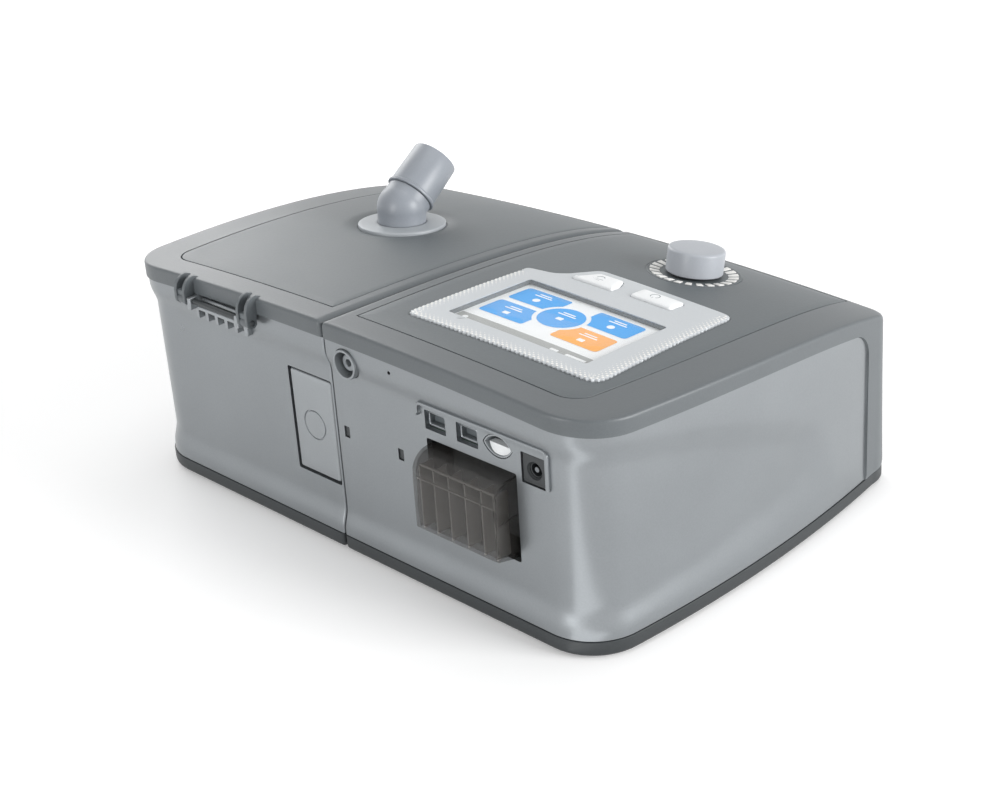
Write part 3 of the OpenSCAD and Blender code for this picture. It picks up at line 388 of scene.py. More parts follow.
def cutAway(piece, cutters, operation="DIFFERENCE", angle=35, crossings=False):
    # crossings are for pieces or cutters whose own faces cross; they leave crumbs to clean up
    cutter = joinPieces("cutter", cutters)
    applyModifier(piece, "BOOLEAN", operation=operation, solver="EXACT", object=cutter, use_self=crossings)
    bpy.data.objects.remove(cutter)
    makeActive(piece)
    if crossings:
        editMesh(piece, remove_doubles={"threshold": 0.000004}, dissolve_degenerate={"threshold": 0.000002})
        piece.data.validate()
    shadeSmooth(angle)


def tiltedPlace(x, y, tilt, roll):
    return (Matrix.Translation(Vector((x, y, deckZ(x, y))) / 1000) @ Matrix.Rotation(roll, 4, "Y")
        @ Matrix.Rotation(math.radians(tilt), 4, "X"))


def dress(piece, material, body, slotName, *replaced):
    piece.data.materials.clear()
    piece.data.materials.append(material)
    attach(piece, body)
    if replaced:
        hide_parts(*replaced)
    return piece


def linearColour(hexCode, level=1.0):
    values = [int(hexCode[i:i + 2], 16) / 255 for i in (1, 3, 5)]
    return tuple(level * (v / 12.92 if v <= 0.04045 else ((v + 0.055) / 1.055) ** 2.4)
        for v in values) + (1.0,)


def addNode(material, kind, inputs=None, links=None, **settings):
    node = material.node_tree.nodes.new(kind)
    for key, value in settings.items():
        setattr(node, key, value)
    for key, value in (inputs or {}).items():
        node.inputs[key].default_value = value
    for key, source in (links or {}).items():
        material.node_tree.links.new(source, node.inputs[key])
    return node


def newMaterial(name, colour, roughness, metallic=0.0, **more):
    material = bpy.data.materials.new(name)
    material.use_nodes = True
    shader = material.node_tree.nodes["Principled BSDF"]
    shader.inputs["Base Color"].default_value = linearColour(colour)
    shader.inputs["Roughness"].default_value = roughness
    shader.inputs["Metallic"].default_value = metallic
    for key, value in more.items():
        shader.inputs[key.replace("_", " ")].default_value = value
    return material, shader


def mouldedFinish(name, colour, roughness, grain, depth, mottle=0.06, worn=0.0, stretch=(1, 1, 1), **more):
    # grain and depth in millimetres; a skin of fine grain, a slow drift of tone and gloss, rubbed edges
    material, shader = newMaterial(name, colour, roughness, **more)
    join = material.node_tree.links.new
    place = addNode(material, "ShaderNodeTexCoord")
    turned = addNode(material, "ShaderNodeMapping", {"Scale": stretch}, {"Vector": place.outputs["Object"]})
    skin = addNode(material, "ShaderNodeTexNoise", {"Scale": 1000 / grain, "Detail": 2.0, "Roughness": 0.6},
        {"Vector": turned.outputs["Vector"]})
    bump = addNode(material, "ShaderNodeBump", {"Strength": 0.5, "Distance": depth / 1000},
        {"Height": skin.outputs["Fac"]})
    join(bump.outputs["Normal"], shader.inputs["Normal"])
    drift = addNode(material, "ShaderNodeTexNoise", {"Scale": 1000 / 38, "Detail": 3.0},
        {"Vector": place.outputs["Object"]})
    both = addNode(material, "ShaderNodeMath", links={0: skin.outputs["Fac"], 1: drift.outputs["Fac"]})
    tone = addNode(material, "ShaderNodeMapRange", {"From Min": 0.7, "From Max": 1.3},
        {"Value": both.outputs["Value"]})
    tint = addNode(material, "ShaderNodeMix", {6: linearColour(colour, 1 - mottle),
        7: linearColour(colour, 1 + mottle)}, {0: tone.outputs["Result"]}, data_type="RGBA")
    result = tint
    if worn:
        shape = addNode(material, "ShaderNodeNewGeometry")
        edge = addNode(material, "ShaderNodeMapRange", {"From Min": 0.53, "From Max": 0.62, "To Max": worn},
            {"Value": shape.outputs["Pointiness"]})
        result = addNode(material, "ShaderNodeMix", {7: linearColour(colour, 1.7)},
            {0: edge.outputs["Result"], 6: tint.outputs[2]}, data_type="RGBA")
    join(result.outputs[2], shader.inputs["Base Color"])
    gloss = addNode(material, "ShaderNodeMapRange", {"From Min": 0.15, "From Max": 0.85,
        "To Min": roughness - 0.03, "To Max": roughness + 0.03}, {"Value": drift.outputs["Fac"]})
    join(gloss.outputs["Result"], shader.inputs["Roughness"])
    return material


# grey ABS from a spark eroded mould: dull, with a soft sheen where the window light grazes it
coverPlastic = mouldedFinish("mouldedAbsGrey", "#575c5f", 0.42, 0.9, 0.05, worn=0.25)
# the inlay has a coarser grain, so that it takes the light a little more evenly than its rim
inlayPlastic = mouldedFinish("grainedAbsInlay", "#555b5e", 0.46, 1.2, 0.09, mottle=0.05)
# silver lacquer over ABS: fine flakes give bright and dark bands on the round corner
silverPaint = mouldedFinish("silverLacquer", "#8b8f92", 0.29, 0.8, 0.025, mottle=0.04, metallic=0.8)
# the same lacquer on the small fittings of the back, a touch duller
silverTrim = mouldedFinish("silverLacquerTrim", "#94989b", 0.36, 0.8, 0.03, mottle=0.04, metallic=0.6)
# darker ABS of the base, plain and matt
basePlastic = mouldedFinish("mouldedAbsDark", "#2c3032", 0.5, 0.9, 0.06, worn=0.2)
# pale silver pigmented ABS of the screen frame, smooth and bright
bezelPlastic = mouldedFinish("silverAbsFrame", "#bfc3c6", 0.42, 0.9, 0.03, mottle=0.03, metallic=0.1)
# white keys, nearly smooth
keyPlastic = mouldedFinish("paleAbsKeys", "#e9ebec", 0.38, 0.7, 0.015, mottle=0.02)
# satin blue grey nylon of the knob, and the slightly darker copolyester of the air outlet
knobPlastic = mouldedFinish("satinNylon", "#a3a7ad", 0.38, 0.8, 0.02, mottle=0.03)
outletPlastic = mouldedFinish("satinCopolyester", "#8b9097", 0.4, 0.8, 0.02, mottle=0.03)
# pale ABS of the round plate under the elbow
discPlastic = mouldedFinish("paleSatinAbs", "#a0a5a9", 0.42, 0.9, 0.03, mottle=0.03)
latchPlastic = mouldedFinish("satinAbsLatch", "#84898d", 0.42, 0.9, 0.03, worn=0.2)
# black nylon of the sockets and ducts, matt, shows the fine glass fibre in it
blackPlastic = mouldedFinish("blackNylon", "#2b2e30", 0.5, 0.7, 0.04, mottle=0.12, worn=0.15)
dialPlastic = mouldedFinish("darkAbsDial", "#565c5f", 0.5, 0.8, 0.04)
markPlastic = mouldedFinish("paleMarks", "#e4e3e0", 0.42, 0.7, 0.015, mottle=0.03)
whitePlastic = mouldedFinish("whiteAbs", "#e6e8e9", 0.36, 0.8, 0.02, mottle=0.03)
impellerPlastic = mouldedFinish("bluePolycarbonate", "#3e78a8", 0.3, 0.8, 0.02)
tankCoverPlastic = mouldedFinish("greyPolypropylene", "#9aa3a8", 0.45, 1.1, 0.04)
printInk = mouldedFinish("greyPrintInk", "#8b9196", 0.45, 0.6, 0.01)
# silicone rubber, dull and a little dusty
sealRubber = mouldedFinish("siliconeRubber", "#8b9196", 0.62, 0.8, 0.06, mottle=0.1)
footRubber = mouldedFinish("blackRubber", "#26282a", 0.8, 0.7, 0.1, mottle=0.15, worn=0.2)
# metals: the grain is drawn out along the turning or the rolling
motorMetal = mouldedFinish("turnedAluminium", "#9a9fa4", 0.32, 0.5, 0.02, metallic=1.0, stretch=(1, 1, 0.06))
stemSteel = mouldedFinish("turnedSteel", "#8d9095", 0.28, 0.5, 0.02, metallic=1.0, stretch=(0.08, 0.08, 1))
contactMetal = mouldedFinish("nickelContact", "#7f8285", 0.5, 0.5, 0.015, metallic=1.0)
socketMetal = mouldedFinish("nickelSheet", "#8f9396", 0.45, 0.5, 0.02, metallic=0.85, stretch=(0.1, 1, 1))
plateSteel = mouldedFinish("pressedStainless", "#cfd2d5", 0.26, 0.5, 0.02, metallic=1.0, stretch=(0.06, 1, 1))
screwSteel = mouldedFinish("zincSteel", "#b9bcc0", 0.34, 0.5, 0.03, metallic=1.0)
# sand cast aluminium of the heater, dull with a coarse pitted skin
heaterMetal = mouldedFinish("castAluminium", "#7b8084", 0.5, 1.4, 0.15, mottle=0.12, metallic=0.9)

def looseFinish(name, colour, kind, texture, output, stretch, ramp, strength, depth):
    # loose stuff: one texture gives its tone, over a ramp of (place, colour), and its relief
    material, shader = newMaterial(name, colour, 0.95)
    place = addNode(material, "ShaderNodeTexCoord")
    lay = addNode(material, "ShaderNodeMapping", {"Scale": stretch}, {"Vector": place.outputs["Object"]})
    grain = addNode(material, kind, texture, {"Vector": lay.outputs["Vector"]})
    tone = addNode(material, "ShaderNodeValToRGB", links={"Fac": grain.outputs[output]})
    for element, (position, code) in zip(tone.color_ramp.elements, ramp):
        element.color = linearColour(code)
        element.position = position
    bump = addNode(material, "ShaderNodeBump", {"Strength": strength, "Distance": depth / 1000},
        {"Height": grain.outputs[output]})
    material.node_tree.links.new(tone.outputs["Color"], shader.inputs["Base Color"])
    material.node_tree.links.new(bump.outputs["Normal"], shader.inputs["Normal"])
    return material


# open cell foam: round pores of about two millimetres
foamStuff = looseFinish("acousticFoam", "#565a5e", "ShaderNodeTexVoronoi", {"Scale": 1000 / 2.2}, "Distance",
    (1, 1, 1), [(0.0, "#2f3235"), (0.6, "#6d7277")], 0.9, 1)
# needled fleece of the air filter: soft fibres of about half a millimetre and a little dust
filterFibre = looseFinish("filterFleece", "#646667", "ShaderNodeTexNoise",
    {"Scale": 1000 / 0.9, "Detail": 5.0, "Roughness": 0.75}, "Fac", (0.3, 1, 1),
    [(0.3, "#5d5f60"), (0.7, "#707273")], 0.5, 0.2)

# green solder mask over copper: tracks of about a millimetre show as faint paler lines
boardLacquer, shader = newMaterial("solderMask", "#2f6b46", 0.32, Coat_Weight=0.4)
place = addNode(boardLacquer, "ShaderNodeTexCoord")
tracks = addNode(boardLacquer, "ShaderNodeTexBrick", {"Scale": 1.0, "Mortar Size": 0.0003,
    "Brick Width": 0.014, "Row Height": 0.0022, "Color1": linearColour("#2b6441"),
    "Color2": linearColour("#347350"), "Mortar": linearColour("#4f8f63")},
    {"Vector": place.outputs["Object"]})
boardLacquer.node_tree.links.new(tracks.outputs["Color"], shader.inputs["Base Color"])


def clearFinish(name, colour, alpha, roughness, ripple):
    # clear moulded plastic or glass: see-through by its alpha, with a slow ripple and faint dust in its gloss
    material, shader = newMaterial(name, colour, roughness, Alpha=alpha)
    place = addNode(material, "ShaderNodeTexCoord")
    wave = addNode(material, "ShaderNodeTexNoise", {"Scale": 1000 / 18, "Detail": 0.0},
        {"Vector": place.outputs["Object"]})
    bump = addNode(material, "ShaderNodeBump", {"Strength": 0.3, "Distance": ripple / 1000},
        {"Height": wave.outputs["Fac"]})
    dust = addNode(material, "ShaderNodeTexNoise", {"Scale": 1000 / 1.5, "Detail": 4.0},
        {"Vector": place.outputs["Object"]})
    haze = addNode(material, "ShaderNodeMapRange", {"From Min": 0.4, "From Max": 0.7, "To Min": roughness,
        "To Max": roughness + 0.08}, {"Value": dust.outputs["Fac"]})
    material.node_tree.links.new(bump.outputs["Normal"], shader.inputs["Normal"])
    material.node_tree.links.new(haze.outputs["Result"], shader.inputs["Roughness"])
    return material


# smoke grey polycarbonate of the filter cover
smokePlastic = clearFinish("smokePolycarbonate", "#474543", 0.4, 0.1, 0.02)
# its moulded ribs and ledges get a pale colour all over: painted highlight for the light they catch
ribPaintedHighlight = mouldedFinish("smokeRibPaintedHighlight", "#b5b2ad", 0.3, 0.8, 0.01, mottle=0.03)
tankPlastic = clearFinish("clearCopolyester", "#cfe0ea", 0.35, 0.06, 0.4)
screenGlass = clearFinish("coverGlass", "#f4f7f8", 0.08, 0.04, 0.05)
# lit display: a plain white layer
displayWhite = mouldedFinish("displayWhite", "#f3f5f6", 0.5, 0.6, 0.005, mottle=0.01)
displayBlue = mouldedFinish("displayBlue", "#1b9ee9", 0.5, 0.6, 0.005, mottle=0.02)
displayOrange = mouldedFinish("displayOrange", "#f8aa3f", 0.5, 0.6, 0.005, mottle=0.02)
displayGrey = mouldedFinish("displayGrey", "#9fa19f", 0.5, 0.6, 0.005, mottle=0.03)

finishes = {basePlastic: "main_base humidifier_base hinge_pin", silverPaint: "main_shell humidifier_shell",
    silverTrim: "hinge_comb release_plate", coverPlastic: "main_cover humidifier_front lid",
    inlayPlastic: "main_panel lid_panel", bezelPlastic: "screen_bezel", screenGlass: "screen_glass",
    displayWhite: "screen_display", boardLacquer: "control_board port_board power_board",
    keyPlastic: "button_left button_right", knobPlastic: "knob", outletPlastic: "elbow cuff",
    stemSteel: "knob_stem", markPlastic: "knob_marks", foamStuff: "muffler", discPlastic: "outlet_disc",
    blackPlastic: "knob_encoder power_inlet contact_pads air_duct filter_box",
    whitePlastic: "blower_housing sensor_port", impellerPlastic: "blower_impeller",
    motorMetal: "blower_motor", filterFibre: "filter_pad", smokePlastic: "filter_cover",
    contactMetal: "power_pin", socketMetal: "data_socket coax_socket", sealRubber: "air_seal lid_gasket",
    footRubber: "main_foot humidifier_foot", heaterMetal: "heater_plate", tankPlastic: "water_tank",
    tankCoverPlastic: "tank_cover", plateSteel: "tank_plate", latchPlastic: "lid_latch",
    screwSteel: "main_screw humidifier_screw"}
for material, names in finishes.items():
    for name in names.split():
        for index in range(len(nodes[name].data.materials)):
            nodes[name].data.materials[index] = material
print("materials on", sum(len(names.split()) for names in finishes.values()), "nodes")

# top covers: deck, rounded edge, lip and the recess of the inlay
coverForm = {"round": 1.5, "seamRound": 3.0, "frontRound": 4.9, "panelDepth": 1.6, "floor": 1.4,
    "panelSide": 19, "panelBack": 13.4, "panelSeam": 6.8, "panelFrontY": -90.85, "panelCorner": 11}


def panelOutline(seam, inset):
    form = coverForm
    return moduleOutline(seam, form["panelBack"] + inset, form["panelSide"] + inset,
        form["panelFrontY"] + inset - bodyForm["frontTopY"], form["panelSeam"] + inset,
        form["panelCorner"] - inset, 0.5, 0.5)


def coverRings(side, seam, lowerEdge):
    form = coverForm
    wall = bodyForm["wall"]
    outer = moduleOutline(seam)
    deckEdge = moduleOutline(seam, form["round"], form["round"], form["frontRound"], form["seamRound"], 22.5,
        8, 0.4)
    inner = moduleOutline(seam, wall, wall, wall + 2, wall, 22.6, 9.6, 0.4)
    panel = panelOutline(seam, 0)
    middle = ((seam + bodyForm["halfWidth"]) / 2, -2.25)

    def top(u, y, drop=0.0):
        return (side * u, y, deckZ(u, y) - drop)

    def shrunk(outline, f, drop):
        return [top(middle[0] + (p[0] - middle[0]) * f, middle[1] + (p[1] - middle[1]) * f, drop)
            for p in outline]

    rings = [shrunk(panel, f, form["panelDepth"]) for f in (0, 0.2, 0.45, 0.7, 0.9, 1.0)]
    rings.append([top(p[0], p[1], 0.2) for p in panel])
    for f in (0.012, 0.15, 0.35, 0.6, 0.8, 1.0):
        rings.append([top(p[0] + (d[0] - p[0]) * f, p[1] + (d[1] - p[1]) * f) for p,
            d in zip(panel, deckEdge)])
    cornerDrop = [min(max(math.hypot(p[0] - d[0], p[1] - d[1]), form["round"]), form["frontRound"] + 1) for p,
        d in zip(outer, deckEdge)]

    def wallPoint(p, z):
        shift = leanShift(p, z)
        return (p[0] + p[2] * shift, p[1] + p[3] * shift, z)

    for step in range(1, 7):
        t = step / 6
        ring = []
        for p, d, drop in zip(outer, deckEdge, cornerDrop):
            start = Vector((d[0], d[1], deckZ(d[0], d[1])))
            corner = Vector((p[0], p[1], deckZ(p[0], p[1])))
            end = Vector(wallPoint(p, corner.z - drop))
            point = start * (1 - t) ** 2 + corner * 2 * t * (1 - t) + end * t * t
            ring.append((side * point.x, point.y, point.z))
        rings.append(ring)
    for f in (0.35, 0.7, 0.97, 1.0):
        ring = []
        ease = 0.3 if f == 1.0 else 0.0
        for p, drop in zip(outer, cornerDrop):
            topZ = deckZ(p[0], p[1]) - drop
            u, y, z = wallPoint(p, topZ + (lowerEdge(p[0], p[1]) - topZ) * f)
            ring.append((side * (u - p[2] * ease), y - p[3] * ease, z))
        rings.append(ring)
    underside = form["panelDepth"] + form["floor"]
    for f in (0, 1):
        ring = []
        for p, q in zip(outer, inner):
            low = lowerEdge(p[0], p[1])
            z = low + (deckZ(q[0], q[1]) - underside - low) * f
            shift = leanShift(p, z)
            ring.append((side * (q[0] + p[2] * shift), q[1] + p[3] * shift, z))
        rings.append(ring)
    return rings + [shrunk(inner, f, underside) for f in (0.85, 0.5, 0.2, 0)]


mainCover = loftPiece("mainCoverSkin", coverRings(-1, bodyForm["mainSeam"], fasciaEdge))
cutAway(mainCover, [blockPiece("cutter", (-113, -16.25, 70), (-20, 62.75, 130), 0),
    barPiece("cutter", (-65.9, -57.15, 95), 6.5, 40, "Z")])
cutAway(mainCover, [blockPiece("cutter", (-93.6, -20.6, 70), (-43, -16.0, 130), 0)])
dress(mainCover, coverPlastic, "main_unit", "cover_plastic", "main_cover")
lidCover = loftPiece("lidSkin", coverRings(1, bodyForm["humidSeam"], lidEdge))
dress(lidCover, coverPlastic, "lid_group", "cover_plastic", "lid")
print("covers", len(mainCover.data.polygons), len(lidCover.data.polygons))

# silver shells with the soft recess in the back and the side
shellForm = {"rows": 44, "rim": [(-170, 93.0), (14.5, 91), (63.4, 79.3), (127.6, 57.1), (138.9, 43.2),
    (142.7, 23.5), (136.4, 16.2), (80, 12.2), (16, 10.6), (-170, 10.6)],
    "floor": [(-170, 86.0), (15.3, 82.6), (63.4, 69), (114, 49.1), (116.4, 35.1), (108.9, 31), (63.1, 25.5),
    (14.7, 20.8), (-170, 19.5)]}


def insideOf(h, z, loop):
    inside = False
    for (x1, y1), (x2, y2) in pairs(loop):
        if (y1 > z) != (y2 > z) and h < (x2 - x1) * (z - y1) / (y2 - y1) + x1:
            inside = not inside
    return inside


def edgeDistance(h, z, loop):
    best = 1e9
    for (x1, y1), (x2, y2) in pairs(loop):
        dx, dy = x2 - x1, y2 - y1
        t = max(0, min(1, ((h - x1) * dx + (z - y1) * dy) / (dx * dx + dy * dy)))
        best = min(best, math.hypot(h - x1 - t * dx, z - y1 - t * dy))
    return best


def recessDepth(h, z):
    if not insideOf(h, z, shellForm["rim"]):
        return 0.0
    if insideOf(h, z, shellForm["floor"]):
        return bodyForm["recess"]
    a, b = edgeDistance(h, z, shellForm["rim"]), edgeDistance(h, z, shellForm["floor"])
    t = a / (a + b)
    return bodyForm["recess"] * (0.5 * t + 0.5 * t * t * (3 - 2 * t))


def silverShell(name, side, seam):
    inset = bodyForm["shellInset"]
    loop = moduleOutline(seam, inset, inset, 5, 0.0, 24.1, 8, 1.0, fine=2)
    start = min(k for k in range(len(loop)) if loop[k][2] == -1 and loop[k][1] > -78.35)
    run = loop[start:] + loop[:start]
    end = max(k for k in range(len(run)) if run[k][2] > 0.9 and run[k][1] > -78.35) + 1
    run = run[:end]
    lengths = [0.0]
    for a, b in zip(run, run[1:]):
        lengths.append(lengths[-1] + math.hypot(b[0] - a[0], b[1] - a[1]))
    turning = [k for k, p in enumerate(run) if p[2] > 0.05 and p[3] > 0.2]
    zero = (lengths[turning[0]] + lengths[turning[-1]]) / 2
    rings = []
    for row in range(shellForm["rows"] + 1):
        ring = []
        for p, length in zip(run, lengths):
            high = fasciaEdge(p[0], p[1], bodyForm["gap"])
            z = high + (bodyForm["baseTop"] + 0.02 - high) * row / shellForm["rows"]
            depth = recessDepth(length - zero, z) if p[2] >= 0 else recessDepth(-150, z)
            if p[2] >= 0:
                ring.append((side * (p[0] - p[2] * depth), p[1] - p[3] * depth, z))
            elif p[2] == -1:
                ring.append((side * p[0], min(p[1], rimY - 1.0 - depth), z))
            else:
                ring.append((side * p[0], p[1] - depth, z))
        rings.append(ring)
    return thickened(loftPiece(name, rings, closed=False, recalculate=False), side)


def thickened(piece, side):
    # gives an open skin its wall, inwards
    if side < 0:
        editMesh(piece, flip_normals={})
    applyModifier(piece, "SOLIDIFY", thickness=bodyForm["wall"] / 1000, offset=-1)
    return piece


# places on the back as (x, z), openings as (x, z, x, z)
portForm = {"lens": (-89.2, 79.8), "lensRadius": 8.5, "lensHalf": 4.9, "dataX": (-55.8, -73.1), "dataZ": 79.2,
    "power": (-107.5, 75.3), "coax": (-8.2, 91.3), "air": (24.25, 70), "airRadius": 10.3,
    "contactX": (-2.1, -34.3), "contactZ": 58.0, "pinhole": (-34, 95), "filter": (-98.2, 32.2, -50.2, 71.0),
    "release": (5.1, 30.1, 32.5, 78.7)}
lensX, lensZ = portForm["lens"]
powerX, powerZ = portForm["power"]
coaxX, coaxZ = portForm["coax"]
dataZ, contactZ = portForm["dataZ"], portForm["contactZ"]


def backOpening(x0, z0, x1, z1, radius=0.6):
    # cutter through the back wall with round corners
    return backCutter(boxOutline(x0, z0, x1, z1, radius))


def backCutter(outline):
    return platePiece("cutter", outline, [(0, -9), (0, 6)], onBack, fill=(0,))


def backSquare(x, z, halfX, halfZ, radius=0.6):
    return backOpening(x - halfX, z - halfZ, x + halfX, z + halfZ, radius)


def airHole(x):
    return barPiece("cutter", (x, *portForm["air"]), portForm["airRadius"], 16, "X")


def lensOutline(inset=0.0, steps=14):
    # two arcs that meet at the left and the right
    arc = portForm["lensRadius"] - inset
    sink = portForm["lensRadius"] - portForm["lensHalf"]
    half = math.acos(sink / arc)
    turns = [half - 2 * half * k / steps for k in range(steps)]
    upper = [(arc * math.sin(a), arc * math.cos(a) - sink) for a in turns]
    return [(lensX + a, lensZ + b) for a, b in upper + [(-a, -b) for a, b in upper]]


hingeForm = {"x": 69.5, "y": 97.45, "z": 96.4, "span": 42.5, "pitch": 5.5, "cheek": 1.6, "radius": 2.4,
    "combHalf": 17.4, "shelfLow": 87.4, "shelfHigh": 93.0, "pin": 1.2, "armWidth": 2.4}
hx, hy, hz, combHalf = (hingeForm[key] for key in ("x", "y", "z", "combHalf"))
combLow, combHigh = hx - combHalf, hx + combHalf
mainShell = silverShell("mainShellSkin", -1, bodyForm["mainSeam"])
humidShell = silverShell("humidifierShellSkin", 1, bodyForm["humidSeam"])
pinX, pinZ = portForm["pinhole"]
holes = [backOpening(*portForm["filter"], 1), backCutter(lensOutline()), backSquare(powerX, powerZ, 6.5, 6.5),
    barPiece("cutter", (coaxX, rimY, coaxZ), 6.8, 24), barPiece("cutter", (pinX, rimY, pinZ), 0.8, 24,
    vertices=20), airHole(3.9)]
holes += [backSquare(x, dataZ, 5.7, 4.2) for x in portForm["dataX"]]
holes += [backSquare(x, contactZ, 1.6, 2.6, 0.4) for x in portForm["contactX"]]
cutAway(mainShell, holes)
cutAway(humidShell, [backOpening(*portForm["release"], 1), blockPiece("cutter", (combLow, rimY - 9, 93.1),
    (combHigh, rimY + 6, 110), 0), blockPiece("cutter", (combLow, wallY - 0.2, hingeForm["shelfLow"]),
    (combHigh, rimY + 6, 93.2), 0), airHole(4.5)], crossings=True)
dress(mainShell, silverPaint, "main_unit", "silver_paint", "main_shell")
dress(humidShell, silverPaint, "humidifier", "silver_paint", "humidifier_shell")

# raised rib that runs over the ports, its long leg beside the power socket
ribPath = [(-114.75, 69.7), (-114.75, 84)] + arcPath(-112.75, 83.95, 2, 157.5, 112.5, 2)
ribPath += [(-112.5, 85.95), (-49.4, 85.95)] + arcPath(-49.15, 83.95, 2, 67.5, 22.5, 2)
ribPath += [(-47.15, 83.7), (-47.15, 80.7)]
ribSection = [(-0.75, -0.4), (-0.75, 1.1), (-0.5, 1.5), (0, 1.6), (0.5, 1.5), (0.75, 1.1), (0.75, -0.4)]
dress(railPiece("portRib", ribPath, ribSection, onBack), silverPaint, "main_unit", "silver_paint")
print("shells", len(mainShell.data.polygons), len(humidShell.data.polygons))

# dark front of the humidifier under the lid, leaning back like the main cover
frontForm = {"rows": 14, "latchX": 72.5, "latchZ": 62, "latchHalf": (13, 4.5), "slideGap": 0.4}
frontLoop = moduleOutline(bodyForm["humidSeam"])
frontStart = max(k for k, p in enumerate(frontLoop) if p[2] > 0.5 and p[1] > bodyForm["fasciaBend"] + 0.01)
frontEnd = min(k for k, p in enumerate(frontLoop) if p[2] == -1 and p[1] > bodyForm["fasciaBend"] + 0.01)
frontRings = []
for row in range(frontForm["rows"] + 1):
    ring = []
    for p in frontLoop[frontStart:frontEnd + 1]:
        high = lidEdge(p[0], p[1]) - bodyForm["gap"]
        low = min(fasciaEdge(p[0], p[1]), high - 0.05)
        z = high + (low - high) * row / frontForm["rows"]
        shift = leanShift(p, z)
        ring.append((p[0] + p[2] * shift, p[1] + p[3] * shift, z))
    frontRings.append(ring)
frontSkin = thickened(loftPiece("humidifierFrontSkin", frontRings, closed=False, recalculate=False), 1)
latchX, latchZ = frontForm["latchX"], frontForm["latchZ"]
latchW, latchH = frontForm["latchHalf"]
slack = frontForm["slideGap"]
cutAway(frontSkin, [blockPiece("cutter", (latchX - latchW - slack, -112, latchZ - latchH - slack),
    (latchX + latchW + slack, -85, latchZ + latchH + slack), 1.2)])
dress(frontSkin, coverPlastic, "humidifier", "cover_plastic", "humidifier_front")

latchFace = [frontFace(latchX, latchZ + k * latchH) + 0.5 for k in (-1, 1)]
latch = blockPiece("latchSkin", (latchX - latchW, -101.2, latchZ - latchH),
    (latchX + latchW, -89.4, latchZ + latchH), 0)
for vertex in latch.data.vertices:
    if vertex.co.y < -0.1:
        vertex.co.y = latchFace[1 if vertex.co.z * 1000 > latchZ else 0] / 1000
applyModifier(latch, "BEVEL", width=0.0009, segments=4, limit_method="NONE")
flange = blockPiece("flange", (latchX - latchW - 2, -90.0, latchZ - latchH - 2),
    (latchX + latchW + 2, -88.0, latchZ + latchH + 2), 0.4)
scoop = turnedPiece("scoop", [(0, -6), (7, -4.6), (9.5, 0), (7, 4.6), (0, 6)],
    shifted(latchX, latchFace[1] - 4.2, latchZ + 0.4) @ Matrix.Rotation(math.pi / 2, 4, "Y"))
cutAway(latch, [scoop])
latch = joinPieces("latchSkin", [latch, flange])
dress(latch, latchPlastic, "latch", "latch_plastic", "lid_latch")

# base trays with their feet
baseForm = {"inset": 0.4, "seamInset": 0.2, "round": 2.2, "low": 0.9, "top": 7.7, "floorTop": 4.0,
    "footX": (24, 122), "footY": (-79.75, 72.25), "screwX": (40, 106), "screwY": (-83.75, 76.25)}


def baseTray(name, side, seam):
    form = baseForm

    def ringAt(inset, z, shrink=1.0):
        ring = []
        middle = ((seam + bodyForm["halfWidth"]) / 2, 0)
        for p in moduleOutline(seam, inset, inset, inset, form["seamInset"] + inset - form["inset"],
                25 - inset, 12 - inset, 1.5):
            shift = leanShift(p, z)
            u, y = p[0] + p[2] * shift, p[1] + p[3] * shift
            ring.append((side * (middle[0] + (u - middle[0]) * shrink), middle[1] + (y - middle[1]) * shrink,
                z))
        return ring

    r = form["round"]
    rings = [ringAt(form["inset"] + r, form["low"], f) for f in (0, 0.5, 1)]
    rings += [ringAt(form["inset"] + r * (1 - math.sin(a)), form["low"] + r * (1 - math.cos(a)))
        for a in (math.pi / 2 * k / 5 for k in range(1, 6))]
    rings += [ringAt(form["inset"], form["top"] - 0.2), ringAt(form["inset"] + 0.2, form["top"]),
        ringAt(form["inset"] + bodyForm["wall"], form["top"])]
    rings += [ringAt(form["inset"] + bodyForm["wall"], form["floorTop"], f) for f in (1, 0.5, 0)]
    tray = loftPiece(name, rings)
    cutAway(tray, [barPiece("cutter", (side * x, y, 0), 7.15, 6.4, "Z") for x in form["footX"]
        for y in form["footY"]] + [barPiece("cutter", (side * x, y, 1.6), 3.2, 3.2, "Z", 32)
        for x in form["screwX"] for y in form["screwY"]], crossings=True)
    footX, footY = form["footX"], form["footY"]
    feet = [turnedPiece("foot", [(0, 0.25), (5.4, 0.25), (5.9, 0), (6.5, 0), (6.9, 0.4), (7, 1.0), (7, 3.1),
        (0, 3.1)], shifted(side * footX[0], footY[0], 0), 48)]
    for x, y in [(footX[1], footY[0]), (footX[0], footY[1]), (footX[1], footY[1])]:
        feet.append(copyPiece(feet[0], shifted(side * (x - footX[0]), y - footY[0], 0)))
    return tray, joinPieces(name.replace("Base", "Feet"), feet)


mainBase, mainFeet = baseTray("mainBaseSkin", -1, bodyForm["mainSeam"])
humidBase, humidFeet = baseTray("humidifierBaseSkin", 1, bodyForm["humidSeam"])
dress(mainBase, basePlastic, "main_unit", "base_plastic", "main_base")
dress(humidBase, basePlastic, "humidifier", "base_plastic", "humidifier_base")
dress(mainFeet, footRubber, "main_unit", "foot_rubber", "main_foot")
dress(humidFeet, footRubber, "humidifier", "foot_rubber", "humidifier_foot")
print("front, latch and bases ready")

# inlay panels, let into the covers with a thin dark line round them
inlayForm = {"line": 0.5, "bottom": -1.55, "bezelGap": 0.25, "outlet": (72.5, -15.25), "outletReach": 28.0,
    "dishRings": [(28, 0), (25, -0.12), (22.6, -0.6), (20.85, -1.0)]}
bottom = inlayForm["bottom"]
outletX, outletY = inlayForm["outlet"]


def onMainDeck(u, y, h):
    return (-u, y, deckZ(u, y) + h)


